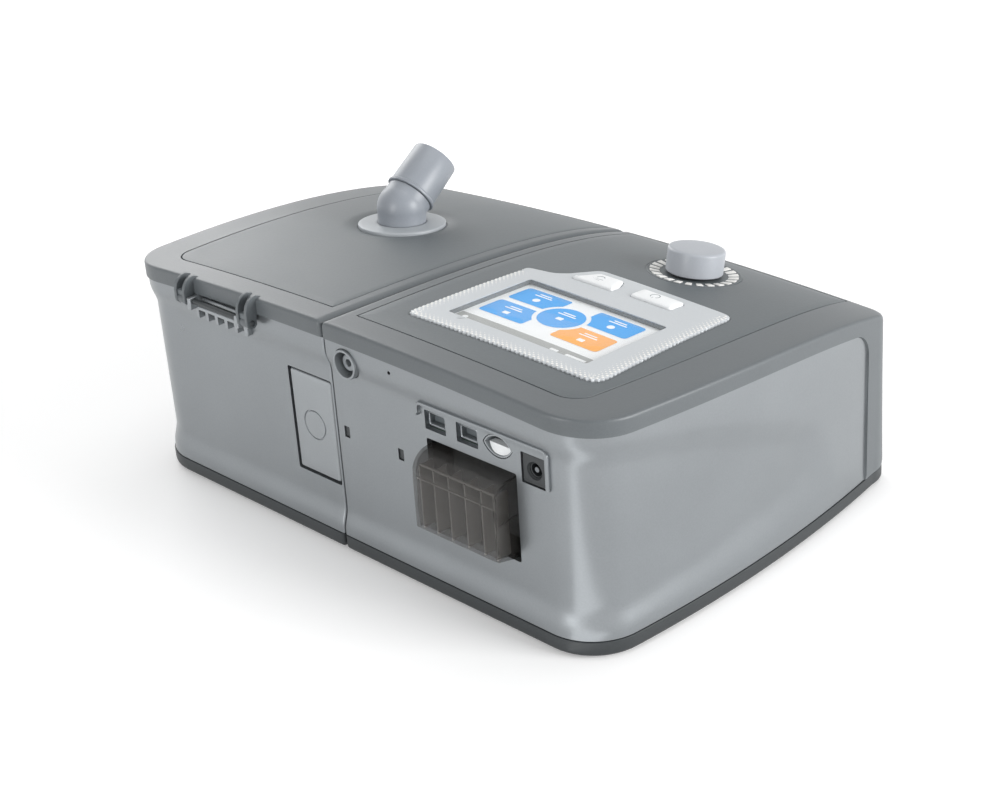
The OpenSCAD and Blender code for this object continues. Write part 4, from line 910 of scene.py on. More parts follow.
bezelForm = {"corners": [(-16.4, 66.8, 4.5), (-17.7, -4.15, 3), (-30.7, -6.65, 9), (-35.2, -11.05, 9),
    (-42.2, -24.2, 5), (-112.8, -23.3, 6), (-116.2, 64.6, 8)], "window": (-102.2, 6.05, -28.6, 54.85),
    "rise": 0.7, "toothPitch": 2.3, "toothDepth": 1.0, "leftKey": [(-39.4, -7.05, 1.2), (-62, -7.05, 1.2),
    (-62, -12.75, 2), (-59, -19.15, 1.6), (-46.2, -19.15, 1.6)],
    "rightKey": [(-92, -18.55), (-70.2, -18.55), (-70.2, -8.25), (-92, -8.25)]}
bezelEdge = splitEdges(roundedOutline(bezelForm["corners"], 6, 6), 3.0)
knobPlace = tiltedPlace(-65.9, -57.15, 9.5, -math.asin(65.9 / bodyForm["archRadius"]))
outletPlace = tiltedPlace(outletX, outletY, 6, math.asin(outletX / bodyForm["archRadius"]))


def columnCutter(outline):
    return platePiece("cutter", outline, [(0, 60), (0, 140)], lambda a, b, h: (a, b, h), fill=(0,))

mainEdge = splitEdges([(p[0], p[1]) for p in panelOutline(bodyForm["mainSeam"], inlayForm["line"])], 5)
mainPanel = platePiece("mainPanelSkin", mainEdge, [(0, bottom), (0, -0.25), (0.12, -0.06), (0.35, 0)],
    onMainDeck, fill=(0.93, 0.86, 0.78, 0.68, 0.56, 0.42, 0.28, 0.14, 0))
cutAway(mainPanel, [columnCutter(insetOutline(bezelEdge, -inlayForm["bezelGap"])),
    turnedPiece("cutter", [(0, -20), (20.9, -20), (20.9, -0.35), (21.4, 20), (0, 20)], knobPlace)])
dress(mainPanel, inlayPlastic, "main_unit", "cover_plastic", "main_panel")

lidEdgeLine = splitEdges([(p[0], p[1]) for p in panelOutline(bodyForm["humidSeam"], inlayForm["line"])], 3.2)


def outletRing(h, f=0.0, radius=inlayForm["outletReach"]):
    # the outline drawn in towards a circle round the air outlet
    ring = []
    for a, b in lidEdgeLine:
        reach = Vector((a - outletX, b - outletY))
        near = reach.normalized() * radius
        point = near + (reach - near) * f
        ring.append(onDeck(outletX + point.x, outletY + point.y, h))
    return ring


panelRings = [laid(lidEdgeLine, bottom), laid(lidEdgeLine, -0.25),
    laid(insetOutline(lidEdgeLine, 0.12), -0.06), laid(insetOutline(lidEdgeLine, 0.35), 0)]
panelRings += [outletRing(0, f) for f in (0.92, 0.82, 0.7, 0.55, 0.4, 0.26, 0.13, 0.04)]
panelRings += [outletRing(h, radius=r) for r, h in inlayForm["dishRings"] + [(20.85, bottom)]]
panelRings += [outletRing(bottom, f) for f in (0.1, 0.4, 0.7)] + [panelRings[0]]
lidPanel = loftPiece("lidPanelSkin", panelRings)
dress(lidPanel, inlayPlastic, "lid_group", "cover_plastic", "lid_panel")

# screen frame with a milled edge, its window and key openings
clockwise = sum(p[0] * q[1] - q[0] * p[1] for p, q in pairs(bezelEdge)) < 0
teeth = []
walked = 0.0
for (a, b), (c, d) in pairs(bezelEdge):
    run = math.hypot(c - a, d - b)
    middleX, middleY = (a + c) / 2, (b + d) / 2
    milled = middleX < -112 or middleX > -20.5 and middleY > -2 or middleY > 62
    steps = max(1, round(run / (bezelForm["toothPitch"] / 4)))
    for k in range(steps):
        f = k / steps
        wave = bezelForm["toothDepth"] * (0.5 + 0.5 * math.cos(2 * math.pi * (walked
            + run * f) / bezelForm["toothPitch"]))
        normal = Vector((b - d, c - a)) / run * (-1 if clockwise else 1)
        push = wave if milled else 0
        teeth.append((a + (c - a) * f + normal.x * push, b + (d - b) * f + normal.y * push))
    walked += run
bezelPlate = platePiece("bezelSkin", teeth, [(0, -1.55), (0, 0.35), (0.12, 0.55), (0.4, bezelForm["rise"])],
    onDeck, fill=(0.97, 0.93, 0.88, 0.8, 0.7, 0.58, 0.45, 0.3, 0.15, 0), angle=40)
x0, y0, x1, y1 = bezelForm["window"]
leftKeyHole = roundedOutline(bezelForm["leftKey"], 1.5)
rightKeyHole = roundedOutline(bezelForm["rightKey"], 2)
openings = [boxOutline(x0, y0, x1, y1, 1.6), leftKeyHole, rightKeyHole]
cutAway(bezelPlate, [columnCutter(outline) for outline in openings], crossings=True)
dress(bezelPlate, bezelPlastic, "main_unit", "bezel_silver", "screen_bezel")

# dark rim of the window
rim = boxOutline(x0 + 0.02, y0 + 0.02, x1 - 0.02, y1 - 0.02, 1.6)
inner = insetOutline(rim, 0.2)
liner = loftPiece("windowLiner", [laid(rim, -1.5), laid(rim, 0.42), laid(inner, 0.42), laid(inner, -1.5),
    laid(rim, -1.5)])
dress(liner, dialPlastic, "main_unit", "black_plastic")

# small raised grip dots that thin out inwards from the milled edges
dotForm = {"pitch": 2.3, "rows": 4, "inset": 1.5, "rowStep": 1.25, "stagger": 1.15, "shrink": 0.22}
dots = []
firstDot = turnedPiece("dot", [(0, 0), (0.62, 0), (0.5, 0.14), (0.2, 0.2), (0, 0.2)], count=8)
walked, position = 0.0, 0
for (a, b), (c, d) in pairs(insetOutline(bezelEdge, dotForm["inset"])):
    run = math.hypot(c - a, d - b)
    inward = Vector((b - d, c - a)) / run * (-1 if clockwise else 1)
    while walked + run > position * dotForm["pitch"]:
        f = (position * dotForm["pitch"] - walked) / run
        x, y = a + (c - a) * f, b + (d - b) * f
        position += 1
        if not (x < -110 or x > -22 and y > 2 or y > 61):
            continue
        for row in range(dotForm["rows"]):
            reach = row * dotForm["rowStep"]
            px, py = x + inward.x * reach, y + inward.y * reach
            if row % 2:
                px, py = px + (c - a) / run * dotForm["stagger"], py + (d - b) / run * dotForm["stagger"]
            dots.append(copyPiece(firstDot, shifted(*onDeck(px, py, bezelForm["rise"] - 0.02))
                @ Matrix.Scale(1 - dotForm["shrink"] * row, 4)))
    walked += run
bpy.data.objects.remove(firstDot)
dress(joinPieces("gripDots", dots), markPlastic, "main_unit", "mark_plastic")
print("frame and", len(dots), "grip dots")

# picture on the display: five fields, a bar and plain signs, each a few hundredths of a millimetre thick
screenForm = {"centre": (-63.3, 25.25), "ring": 10, "cut": 12, "level": -1.62, "thick": 0.03,
    "signThick": 0.025, "near": (7.5, 1.7), "far": (31.5, 15.8)}
cx, cy = screenForm["centre"]


def screenField(name, outline, material):
    low = screenForm["level"]
    piece = platePiece(name, splitEdges(outline, 3), [(0, low), (0, low + screenForm["thick"])], onDeck,
        fill=(0.66, 0.33, 0))
    dress(piece, material, "main_unit", "display")


def tileOutline(sx, sy):
    # a field with its inner corner cut by the circle
    cut, (nearX, nearY), (farX, farY) = screenForm["cut"], screenForm["near"], screenForm["far"]
    first, last = math.asin(nearY / cut), math.acos(nearX / cut)
    turns = [first + (last - first) * k / 8 for k in range(9)]
    corners = [(cx + sx * cut * math.cos(a), cy + sy * cut * math.sin(a), 0.01) for a in turns]
    corners += [(cx + sx * nearX, cy + sy * farY, 1.5), (cx + sx * farX, cy + sy * farY),
        (cx + sx * farX, cy + sy * nearY)]
    return roundedOutline(corners, 2)


screenField("screenCircle", ringOutline(cx, cy, screenForm["ring"], 48), displayBlue)
for name, sx, sy, material in (("screenFieldA", 1, -1, displayBlue), ("screenFieldB", 1, 1, displayBlue),
        ("screenFieldC", -1, -1, displayBlue), ("screenFieldD", -1, 1, displayOrange)):
    screenField(name, tileOutline(sx, sy), material)
screenField("screenBar", boxOutline(-101.8, 46.75, -29.3, 54.6, 0.6), displayGrey)


signs = []
for x, y, rounded in ((cx + 20, cy - 9.5, True), (cx + 20, cy + 8.5, False), (cx - 20, cy - 9.5, True),
        (cx - 20, cy + 8.5, False), (cx, cy - 1.5, False)):
    signs.append(ringOutline(x, y + 2.6, 1.7) if rounded else boxOutline(x - 1.6, y + 1.4, x + 1.6, y + 3.8,
        0.5))
    for k, width in enumerate((4.6, 3.2)):
        signs.append(boxOutline(x - width, y - 2.2 - 1.7 * k, x + width, y - 1.4 - 1.7 * k, 0.3))
signs += [boxOutline(-98, 49.6, -88, 51.2, 0.4), boxOutline(-84, 49.6, -80, 51.2, 0.4),
    ringOutline(-34, 50.4, 1.3)]
level = screenForm["level"] + screenForm["thick"]
signPieces = [platePiece("sign", outline, [(0, level), (0, level + screenForm["signThick"])], onDeck,
    fill=(0,)) for outline in signs]
dress(joinPieces("screenSigns", signPieces), displayWhite, "main_unit", "display")

# keys: a crowned cap with a bevelled rim and a plain printed sign
keyForm = {"gap": 0.42, "rise": 1.8, "crown": 0.25}


def keyCap(name, hole, body, node, stem):
    outline = splitEdges(insetOutline(hole, keyForm["gap"]), 2.5)
    rise = keyForm["rise"]
    cap = platePiece(name, outline, [(0, -1.0), (0, rise - 0.7), (0.3, rise - 0.2), (0.9, rise),
        (1.2, rise + 0.06)], onDeck, fill=(0.7, 0.4, 0))
    centre = Vector((sum(p[0] for p in outline), sum(p[1] for p in outline))) / len(outline)
    for vertex in cap.data.vertices:
        x, y, z = vertex.co * 1000
        if z - deckZ(x, y) > rise + 0.02:
            inner = max(0.0, 1 - ((x - centre.x) / 11) ** 2 - ((y - centre.y) / 6) ** 2)
            vertex.co.z += keyForm["crown"] * inner / 1000
    z = deckZ(*stem)
    post = barPiece("post", (stem[0], stem[1], z - 2.2), 1.5, 3.0, "Z", 32, 0.2)
    dress(joinPieces(name, [cap, post]), keyPlastic, body, "button_plastic", node)


keyCap("leftKeySkin", leftKeyHole, "left_button", "button_left", (-52.5, -12.75))
keyCap("rightKeySkin", rightKeyHole, "right_button", "button_right", (-81, -13.35))


def keySign(name, body, paths):
    half, height = 0.2, 0.08
    section = [(-half, 0), (-half, height), (half, height), (half, 0)]
    strokes = [railPiece("stroke", path, section, lambda a, b, h: onDeck(a, b, keyForm["rise"] + 0.24 + h))
        for path in paths]
    dress(joinPieces(name, strokes), printInk, body, "button_plastic")


keySign("rightKeySign", "right_button", [arcPath(-79.9, -13.8, 2.0, 125, 415),
    [(-79.9, -12.4), (-79.9, -10.9)]])
keySign("leftKeySign", "left_button", [arcPath(-50.8, -13.6, 1.7, 200, 380), [(-53.4, -11.9), (-48.0, -11.9)],
    [(-52.2, -10.7), (-49.6, -10.7)]])
print("display and keys ready")

# control knob, the dark dial under it and its pale marks
dialForm = {"marks": 24, "inner": 14.9, "outer": 19.3, "half": 1.45}
knobSkin = turnedPiece("knobSkin", [(0, 8.7), (3.05, 8.7), (3.05, 5.4), (10.5, 5.4), (10.5, 0.6), (11.0, 0.4),
    (12.1, 0.4), (12.5, 0.8), (12.5, 9.9), (12.4, 10.4), (12.05, 10.85), (11.5, 11.1), (10.6, 11.2),
    (5, 11.3), (0, 11.3)], knobPlace, 128)
dress(knobSkin, knobPlastic, "dial", "knob_plastic", "knob")
dialFloor = turnedPiece("dialFloor", [(6.5, -1.3), (20.75, -1.3), (20.75, -0.15), (20.4, 0.02), (19.9, -0.1),
    (13.4, -0.82), (6.5, -0.82), (6.5, -1.3)], knobPlace, 128)
dress(dialFloor, dialPlastic, "main_unit", "mark_plastic", "knob_marks")
mark = blockPiece("mark", (-dialForm["half"], dialForm["inner"], -0.4),
    (dialForm["half"], dialForm["outer"], 0.4), 0.15, 2)
for vertex in mark.data.vertices:
    reach = (vertex.co.y * 1000 - dialForm["inner"]) / (dialForm["outer"] - dialForm["inner"])
    vertex.co.x *= 0.8 + 0.2 * reach
    vertex.co.z += (-0.78 + 0.62 * reach) / 1000
marks = [copyPiece(mark, knobPlace @ Matrix.Rotation(math.tau * k / dialForm["marks"], 4, "Z"))
    for k in range(dialForm["marks"])]
bpy.data.objects.remove(mark)
dress(joinPieces("dialMarks", marks), markPlastic, "main_unit", "mark_plastic")

# air outlet: round plate, elbow and cuff
seatRing = turnedPiece("outletSeat", [(13.5, -6), (23.1, -6), (23.1, -1.8), (20.85, -1.8), (20.85, -3.1),
    (13.5, -3.1), (13.5, -6)], outletPlace)
dress(seatRing, coverPlastic, "lid_group", "cover_plastic")
disc = turnedPiece("discSkin", [(10.78, -7.7), (13.2, -7.7), (13.2, -3.0), (20.55, -3.0), (20.55, -0.5),
    (20.4, -0.05), (20.0, 0.22), (19.3, 0.3), (14.5, 0.34), (12.9, 0.5), (11.9, 0.62), (11.5, 0.5),
    (11.4, 0.2), (10.78, 0.2), (10.78, -7.7)], outletPlace, 128)
dress(disc, discPlastic, "lid_group", "disc_plastic", "outlet_disc")
outletForm = {"bend": 7.3, "ball": 11.5, "bore": 9.2, "tilt": 49}
bend, ball, boreRadius = outletForm["bend"], outletForm["ball"], outletForm["bore"]
cuffPlace = outletPlace @ shifted(0, 0, bend) @ Matrix.Rotation(math.radians(outletForm["tilt"]), 4, "X")
collar = [(0, -6.7), (10.6, -6.7), (10.6, 0.25), (11.05, 0.35), (11.3, 0.7), (11.3, 5.2)]
elbowSkin = turnedPiece("elbowSkin", collar + arcPath(0, bend, ball, -8, 83, 13) + [(0, bend + ball)],
    outletPlace, 112)
neck = turnedPiece("neck", [(0, 0), (11.0, 0), (11.0, 7), (9.4, 7), (9.4, 12), (0, 12)], cuffPlace, 112)
cutAway(elbowSkin, [neck], "UNION")
bores = [turnedPiece("bore", [(0, -9), (9, -9), (9, bend)] + arcPath(0, bend, boreRadius, 12, 84, 6)
    + [(0, bend + boreRadius)], outletPlace), turnedPiece("bore", [(0, 0), (7.8, 0), (7.8, 20), (0, 20)],
    cuffPlace)]
for bore in bores:
    cutAway(elbowSkin, [bore])
dress(elbowSkin, outletPlastic, "elbow_body", "knob_plastic", "elbow")
cuffSkin = turnedPiece("cuffSkin", [(9.45, 7.35), (11.8, 7.35), (12.1, 7.6), (12.1, 8.4), (11.85, 8.75),
    (11.45, 9.1), (11.35, 14.6), (11.0, 28.9), (10.8, 29.25), (9.7, 29.3), (9.4, 29.0), (9.4, 13.4),
    (9.45, 13.3), (9.45, 7.35)], cuffPlace, 112)
dress(cuffSkin, outletPlastic, "cuff_body", "knob_plastic", "cuff")
print("knob and outlet ready")

# hinge: two brackets on the lid, a grey bar and the silver comb on the shell
brackets = []
for middle in (hx - hingeForm["span"] / 2, hx + hingeForm["span"] / 2):
    high = deckZ(middle, bodyForm["backY"]) + 1.2
    side = [(hy - 2.7, hz - 1.4), (hy - 1.3, hz - 2.55), (hy + 1.2, hz - 2.5), (hy + 2.5, hz - 1.2),
        (hy + 2.7, hz), (hy + 2.7, high - 6), (hy + 2.0, high - 3.4), (hy + 0.5, high - 1.3),
        (hy - 1.7, high - 0.2), (hy - 3.4, high), (hy - 6.4, high - 1.2), (hy - 6.4, high - 4),
        (hy - 4, high - 6), (hy - 2.7, hz + 2)]
    outline = roundedOutline(side, 0.9, 3)
    for x in (middle - hingeForm["pitch"] / 2, middle + hingeForm["pitch"] / 2):
        half = hingeForm["cheek"] / 2
        brackets.append(platePiece("cheek", outline, [(0.25, -half), (0, 0.25 - half), (0, half - 0.25),
            (0.25, half)], lambda a, b, h: (x + h, a, b), fill=(0.5, 0)))
    brackets.append(blockPiece("web", (middle - 2.75, hy - 2.7, hz + 1.6),
        (middle + 2.75, hy + 1.9, hz + 4.2), 0.5))
    brackets.append(barPiece("barrel", (middle, hy, hz), hingeForm["radius"], hingeForm["pitch"], "X", 40,
        0.1))
dress(joinPieces("lidBrackets", brackets), coverPlastic, "lid_group", "cover_plastic")
comb = blockPiece("combSkin", (combLow, wallY - 0.15, hingeForm["shelfLow"]),
    (combHigh, 95.25, hingeForm["shelfHigh"]), 0.5)
combWeb = 1.8
pitch = (2 * combHalf - combWeb) / 5
cutAway(comb, [blockPiece("cutter", (combLow + combWeb + k * pitch, wallY + 0.6, 86),
    (combLow + (k + 1) * pitch, 99, 91.4), 0.3) for k in range(5)])
arms = [blockPiece("arm", (x, wallY - 2.3, 92.6), (x + hingeForm["armWidth"], hy + 2.1, 98.0), 0.5)
    for x in (combLow, combHigh - hingeForm["armWidth"])]
for arm in arms:
    cutAway(arm, [barPiece("cutter", (hx, hy, hz), 1.22, 80, "X")])
dress(joinPieces("combSkin", [comb] + arms), silverTrim, "humidifier", "silver_paint", "hinge_comb")
# dark plates behind the comb windows and behind the slot are painted shade, standing in for the dark hollows
# there
combBackPaintedShade = blockPiece("hingePaintedShade", (combLow + 1.8, wallY - 0.12, 87.5), (combHigh - 1.8, wallY + 0.6, 91.3),
    0.1)
slotBackPaintedShade = blockPiece("hingeSlotPaintedShade", (combLow + 0.1, wallY - 2.2, 92.4), (combHigh - 0.1, wallY - 1.6, 99.4),
    0.1)
slotBar = blockPiece("slotBar", (combLow + 2.5, wallY + 0.6, 95.0), (combHigh - 2.5, wallY + 1.9, 96.6), 0.3)
dress(joinPieces("hingePaintedShade", [combBackPaintedShade, slotBackPaintedShade]), dialPlastic, "humidifier", "black_plastic")
dress(slotBar, silverTrim, "humidifier", "silver_paint")
pinLength = hingeForm["span"] + hingeForm["pitch"] + 2 * hingeForm["cheek"]
hingeBar = barPiece("hingeBar", (hx, hy, hz), hingeForm["pin"], pinLength, "X", 40, 0.3)
dress(hingeBar, basePlastic, "humidifier", "base_plastic", "hinge_pin")
print("hinge ready")

# fittings of the back: release plate, filter cover and sockets
releaseForm = {"plate": (6.2, 31.2, 31.4, 77.6), "ring": (18.8, 54.5, 6.8)}
backTurn = Matrix.Rotation(-math.pi / 2, 4, "X")
plateEdge = splitEdges(boxOutline(*releaseForm["plate"], 1.2), 6)
releasePlate = platePiece("releaseSkin", plateEdge, [(0, -3.3), (0, -0.75), (0.3, -0.35), (0.8, -0.2)],
    onBack, fill=(0.8, 0.6, 0.4, 0.2, 0))
rx, rz, rr = releaseForm["ring"]
cutAway(releasePlate, [turnedPiece("cutter", [(rr - 0.45, -0.5), (rr - 0.1, -0.5), (rr + 0.35, 0.5),
    (rr - 0.9, 0.5), (rr - 0.45, -0.5)], shifted(rx, wallY - 0.2, rz) @ backTurn)])
dress(releasePlate, silverTrim, "release", "silver_paint", "release_plate")
releaseFlange = blockPiece("releaseFlange", (7.3, wallY - 4.6, 28.6), (34.0, wallY - 2.75, 80.2), 0.4)
dress(releaseFlange, dialPlastic, "release", "black_plastic")

coverShape = {"x": (-94.6, -50.6), "low": 32.6, "top": 68.0, "back": 80.25, "front": 101.95, "wall": 1.4}


def coverRing(x, squeeze=0.0):
    # side view of the smoke cover, from the inner bottom edge over the front to the inner top
    y0, y1, z0, z1 = (coverShape[key] for key in ("back", "front", "low", "top"))
    points = [(y0, z0), (wallY, z0), (y1 - 2.2, z0 + 2.2), (y1 - 0.5, z0 + 3.4), (y1, z0 + 5), (y1, 45),
        (y1, 55.5)]
    for k in range(1, 10):
        a = math.pi / 2 * k / 9
        points.append((y1 - 9.8 * (1 - math.cos(a)), 56.0 + (z1 - 56.0) * math.sin(a)))
    points.append((y0, z1))
    return [(x, min(y, y1 - squeeze) if y > wallY else y, z) for y, z in points]


def profileMiddle(ring):
    # flat end cap: the profile drawn in to its middle line
    return [(x, y, (ring[0][2] + ring[-1][2]) / 2) for x, y, _ in ring]


xa, xb = coverShape["x"]
rounding = [(0, 2.4), (0.25, 1.2), (0.9, 0.4), (2, 0)]
rings = [coverRing(xa + step, squeeze) for step, squeeze in rounding]
rings += [coverRing(xa + 2 + (xb - xa - 4) * k / 4) for k in range(1, 4)]
rings += [coverRing(xb - step, squeeze) for step, squeeze in reversed(rounding)]
rings = [profileMiddle(rings[0])] + rings + [profileMiddle(rings[-1])]
filterSkin = loftPiece("filterCoverSkin", rings, closed=False, recalculate=False)
editMesh(filterSkin, remove_doubles={"threshold": 0.00002}, normals_make_consistent={"inside": False})
applyModifier(filterSkin, "SOLIDIFY", thickness=coverShape["wall"] / 1000, offset=-1)
front = coverShape["front"]
ribs = [blockPiece("rib", (x - 0.35, wallY, 34.5), (x + 0.35, front - 3.2, 62.5), 0.15)
    for x in (-52.6, -60.3, -68.4, -77.2, -86.0, -92.6)]
ledges = [blockPiece("ledge", (xa + 1.5, front - 5.0, 61.9), (xb - 1.5, front - 3.8, 63.0), 0.4),
    blockPiece("ledge", (xa + 1.5, front - 2.7, 57.3), (xb - 1.5, front - 1.9, 57.8), 0.15)]
dress(filterSkin, smokePlastic, "filter_door", "smoke_plastic", "filter_cover")
# ribs and ledges carry the pale painted highlight colour
dress(joinPieces("filterRibs", ribs + ledges), ribPaintedHighlight, "filter_door", "smoke_plastic")

sockets, tonguesAndPaintedShade = [], []
for x in portForm["dataX"]:
    z = dataZ
    body = blockPiece("socket", (x - 6.3, wallY - 14, z - 4.3), (x + 6.3, wallY - 2.75, z + 4.7), 0.3)
    cutAway(body, [blockPiece("cutter", (x - 2.8, wallY - 13, z - 2.6), (x + 5, wallY + 5, z + 1.6), 0.2)])
    lip = loftPiece("lip", [laid(boxOutline(x - 3.3 - g, z - 3.1 - g, x + 5.4 + g, z + 2.1 + g, 0.7), h,
        onBack) for g, h in ((0, -2.8), (0.3, -2.8), (0.3, -2.3), (0, -2.1), (-0.35, -2.3), (-0.35, -2.8),
        (0, -2.8))])
    sockets += [body, lip]
    # each tongue is a dark grey block filling the whole socket opening: the socket's tongue, and painted
    # shade for the dark hole round it
    tonguesAndPaintedShade.append(blockPiece("tongue", (x - 2.7, wallY - 12.5, z - 2.5), (x + 4.9, wallY - 4.6, z + 1.5),
        0.1))
dress(joinPieces("dataSocketSkin", sockets), socketMetal, "main_unit", "socket_metal", "data_socket")
dress(joinPieces("dataTonguesAndPaintedShade", tonguesAndPaintedShade), dialPlastic, "main_unit", "black_plastic")
lensRings = [laid(lensOutline(g), h, onBack) for g, h in ((0.2, -12), (0.2, -0.5), (0.35, -0.2), (0.85, -0.2),
    (1.05, -0.5), (1.1, -7), (1.15, -7.05))]
lensCup = loftPiece("lensCup", capped(lensRings, onBack(lensX, lensZ, -12), onBack(lensX, lensZ, -7.05)))
dress(lensCup, silverTrim, "main_unit", "silver_paint")
lowerLens = [p for p in lensOutline(0.25, 28) if p[1] < lensZ - 0.55]
lastX, firstX = lowerLens[-1][0], lowerLens[0][0]
lowerLens += [(lastX + (firstX - lastX) * k / 6, lensZ - 0.5) for k in range(1, 6)]
scoopRings = [laid(lowerLens, -6.0, onBack), [onBack(a, b, -0.4 - 1.8 * max(0, min(1, (b - lensZ + 4) / 3.5)))
    for a, b in lowerLens]]
lensPort = loftPiece("lensPortSkin", capped(scoopRings, onBack(lensX, lensZ - 2, -6.0),
    onBack(lensX, lensZ - 2, -1.7)))
dress(lensPort, whitePlastic, "main_unit", "white_plastic", "sensor_port")
# a black disc deep inside the lens cup is painted shade for the dark upper half of the lens opening
shadeRings = [laid(lensOutline(1.35), h, onBack) for h in (-6.9, -5.2)]
lensPaintedShade = loftPiece("lensPaintedShade", capped(shadeRings, onBack(lensX, lensZ, -6.9), onBack(lensX, lensZ, -5.2)))
dress(lensPaintedShade, blackPlastic, "main_unit", "black_plastic")

powerPlace = shifted(powerX, wallY, powerZ) @ backTurn
inlet = platePiece("powerInletSkin", boxOutline(powerX - 6.1, powerZ - 6.2, powerX + 6.1, powerZ + 6.2, 1.0),
    [(0, -12), (0, -0.7), (0.35, -0.35), (0.6, -0.3)], onBack, fill=(0.6, 0))
cutAway(inlet, [turnedPiece("cutter", [(0, -9), (3.2, -9), (3.2, -1.2), (3.7, -0.5), (4.0, 1), (0, 1)],
    powerPlace, 64)])
dress(inlet, blackPlastic, "main_unit", "black_plastic", "power_inlet")
sleeve = turnedPiece("powerSleeve", [(2.7, -8.8), (3.15, -8.8), (3.15, -1.6), (2.95, -1.4), (2.7, -1.6),
    (2.7, -8.8)], powerPlace, 64)
dress(sleeve, blackPlastic, "main_unit", "black_plastic")


coax = turnedPiece("coaxSkin", [(0, -7.5), (6.5, -7.5), (6.5, 0.7), (6.3, 1.0), (5.9, 1.1), (5.5, 1.0),
    (5.3, 0.6), (5.2, -6.2), (3.6, -6.2), (3.6, -1.9), (3.3, -1.6), (1.7, -1.6), (1.5, -2.0), (1.4, -4.0),
    (0, -4.0)], shifted(coaxX, rimY, coaxZ) @ backTurn, 72)
dress(coax, socketMetal, "main_unit", "socket_metal", "coax_socket")
pads = [blockPiece("pad", (x - 1.4, wallY - 3.4, contactZ - 2.4), (x + 1.4, wallY - 0.5, contactZ + 2.4), 0.3)
    for x in portForm["contactX"]]
pads.append(blockPiece("bridge", (portForm["contactX"][1] - 2.4, wallY - 5.0, contactZ - 4),
    (portForm["contactX"][0] + 1.4, wallY - 3.35, contactZ + 4), 0.2))
dress(joinPieces("contactSkin", pads), blackPlastic, "main_unit", "black_plastic", "contact_pads")
print("fittings ready")

# pale floor that stays near white to the camera and keeps the shadow
stageForm = {"floorSize": 8.0, "worldLevel": 0.45, "floorLift": 0.2, "fadeStart": 0.3, "fadeEnd": 1.3}


def viewRays(owner):
    # one for what the camera sees, straight, in a gloss or through clear plastic
    path = addNode(owner, "ShaderNodeLightPath")
    seen = addNode(owner, "ShaderNodeMath", operation="MAXIMUM",
        links={0: path.outputs["Is Camera Ray"], 1: path.outputs["Is Glossy Ray"]})
    anyView = addNode(owner, "ShaderNodeMath", operation="MAXIMUM",
        links={0: seen.outputs["Value"], 1: path.outputs["Is Transmission Ray"]})
    return anyView.outputs["Value"]
clearSelection()
bpy.ops.mesh.primitive_plane_add(size=stageForm["floorSize"], location=(0, 0, 0))
floor = bpy.context.object
floor.name = "studioFloor"
floorPaint, shader = newMaterial("paleFloor", "#f2f2f2", 0.9, Emission_Strength=0.0)
# away from the machine the floor fades to the white of the background
floorPlace = addNode(floorPaint, "ShaderNodeTexCoord")
away = addNode(floorPaint, "ShaderNodeVectorMath", links={0: floorPlace.outputs["Object"]},
    operation="LENGTH")
fade = addNode(floorPaint, "ShaderNodeMapRange", {"From Min": stageForm["fadeStart"],
    "From Max": stageForm["fadeEnd"], "To Min": stageForm["floorLift"], "To Max": 1.0},
    {"Value": away.outputs["Value"]})
lift = addNode(floorPaint, "ShaderNodeMath", links={0: viewRays(floorPaint), 1: fade.outputs["Result"]},
    operation="MULTIPLY")
shader.inputs["Emission Color"].default_value = (1, 1, 1, 1)
floorPaint.node_tree.links.new(lift.outputs["Value"], shader.inputs["Emission Strength"])
floor.data.materials.append(floorPaint)

world = bpy.context.scene.world or bpy.data.worlds.new("World")
bpy.context.scene.world = world
world.use_nodes = True
world.node_tree.nodes.clear()
softSky = addNode(world, "ShaderNodeBackground", {"Color": (1, 1, 1, 1), "Strength": stageForm["worldLevel"]})
whiteSky = addNode(world, "ShaderNodeBackground", {"Color": (1, 1, 1, 1), "Strength": 1.0})
mixSky = addNode(world, "ShaderNodeMixShader", links={0: viewRays(world), 1: softSky.outputs["Background"],
    2: whiteSky.outputs["Background"]})
addNode(world, "ShaderNodeOutputWorld", links={"Surface": mixSky.outputs["Shader"]})


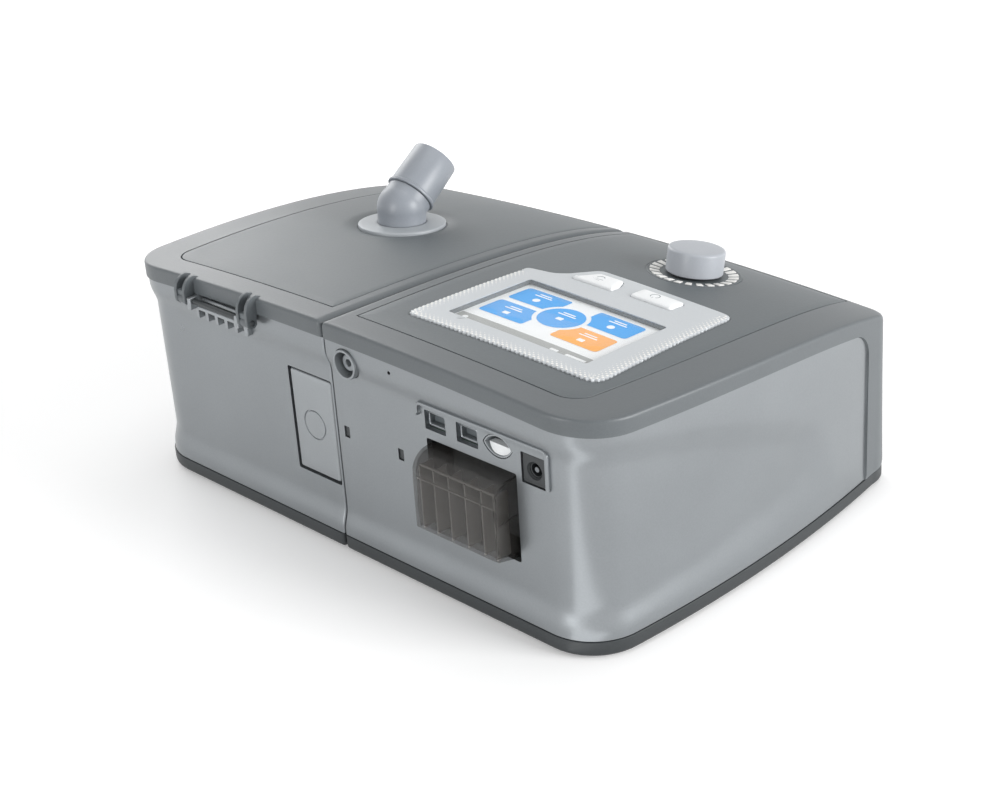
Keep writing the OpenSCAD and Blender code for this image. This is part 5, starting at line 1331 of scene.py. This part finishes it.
def addPanelLight(name, location, target, size, power):
    clearSelection()
    bpy.ops.object.light_add(type="AREA", location=location)
    lamp = bpy.context.object
    lamp.name = name
    lamp.data.shape = "RECTANGLE"
    lamp.data.size, lamp.data.size_y = size
    lamp.data.energy = power
    lamp.rotation_euler = (Vector(target) - Vector(location)).to_track_quat("-Z", "Y").to_euler()
    return lamp


# a wide window to the left, a small fill over the top and low strips that draw the bands on the round corner
lamps = [("leftWindow", (1.6, -0.5, 0.8), (0, 0, 0.08), (1.2, 1.0), 13.0),
    ("topPanel", (-0.1, -0.4, 1.5), (0, 0, 0.05), (1.0, 0.8), 4.0),
    ("backStrip", (-0.05, 1.6, 0.45), (0, 0, 0.05), (0.35, 0.9), 11.0),
    ("rightPanel", (-1.5, -0.5, 0.5), (0, 0, 0.05), (0.8, 0.8), 25.0),
    ("lowStrip", (-0.152, 0.242, 0.002), (-0.152, 0.242, 1.0), (0.035, 0.3), 0.03)]
lowStrip = [addPanelLight(*values) for values in lamps][-1]
lowStrip.rotation_euler = (math.pi, 0, math.radians(5))
lowStrip.visible_camera = False

# camera at the photograph's angle
cameraForm = {"azimuth": 3.9323, "elevation": 0.4642, "roll": -0.0649, "distance": 0.79013,
    "target": (0.00194, -0.00174, 0.03383), "lens": 63.02}
a, e, r = cameraForm["azimuth"], cameraForm["elevation"], cameraForm["roll"]
backward = Vector((math.sin(a) * math.cos(e), -math.cos(a) * math.cos(e), math.sin(e)))
right = (-backward).cross(Vector((0, 0, 1))).normalized()
upward = right.cross(-backward)
cameraData = bpy.data.cameras.new("photoCamera")
cameraData.lens = cameraForm["lens"]
cameraData.sensor_width = 36
cameraData.clip_start = 0.01
cameraData.clip_end = 30
camera = bpy.data.objects.new("photoCamera", cameraData)
bpy.context.scene.collection.objects.link(camera)
matrix = Matrix((right * math.cos(r) + upward * math.sin(r), upward * math.cos(r) - right * math.sin(r),
    backward)).transposed().to_4x4()
matrix.translation = Vector(cameraForm["target"]) + backward * cameraForm["distance"]
camera.matrix_world = matrix
bpy.context.scene.camera = camera
bpy.context.scene.view_settings.view_transform = "Standard"
print("stage and camera ready")
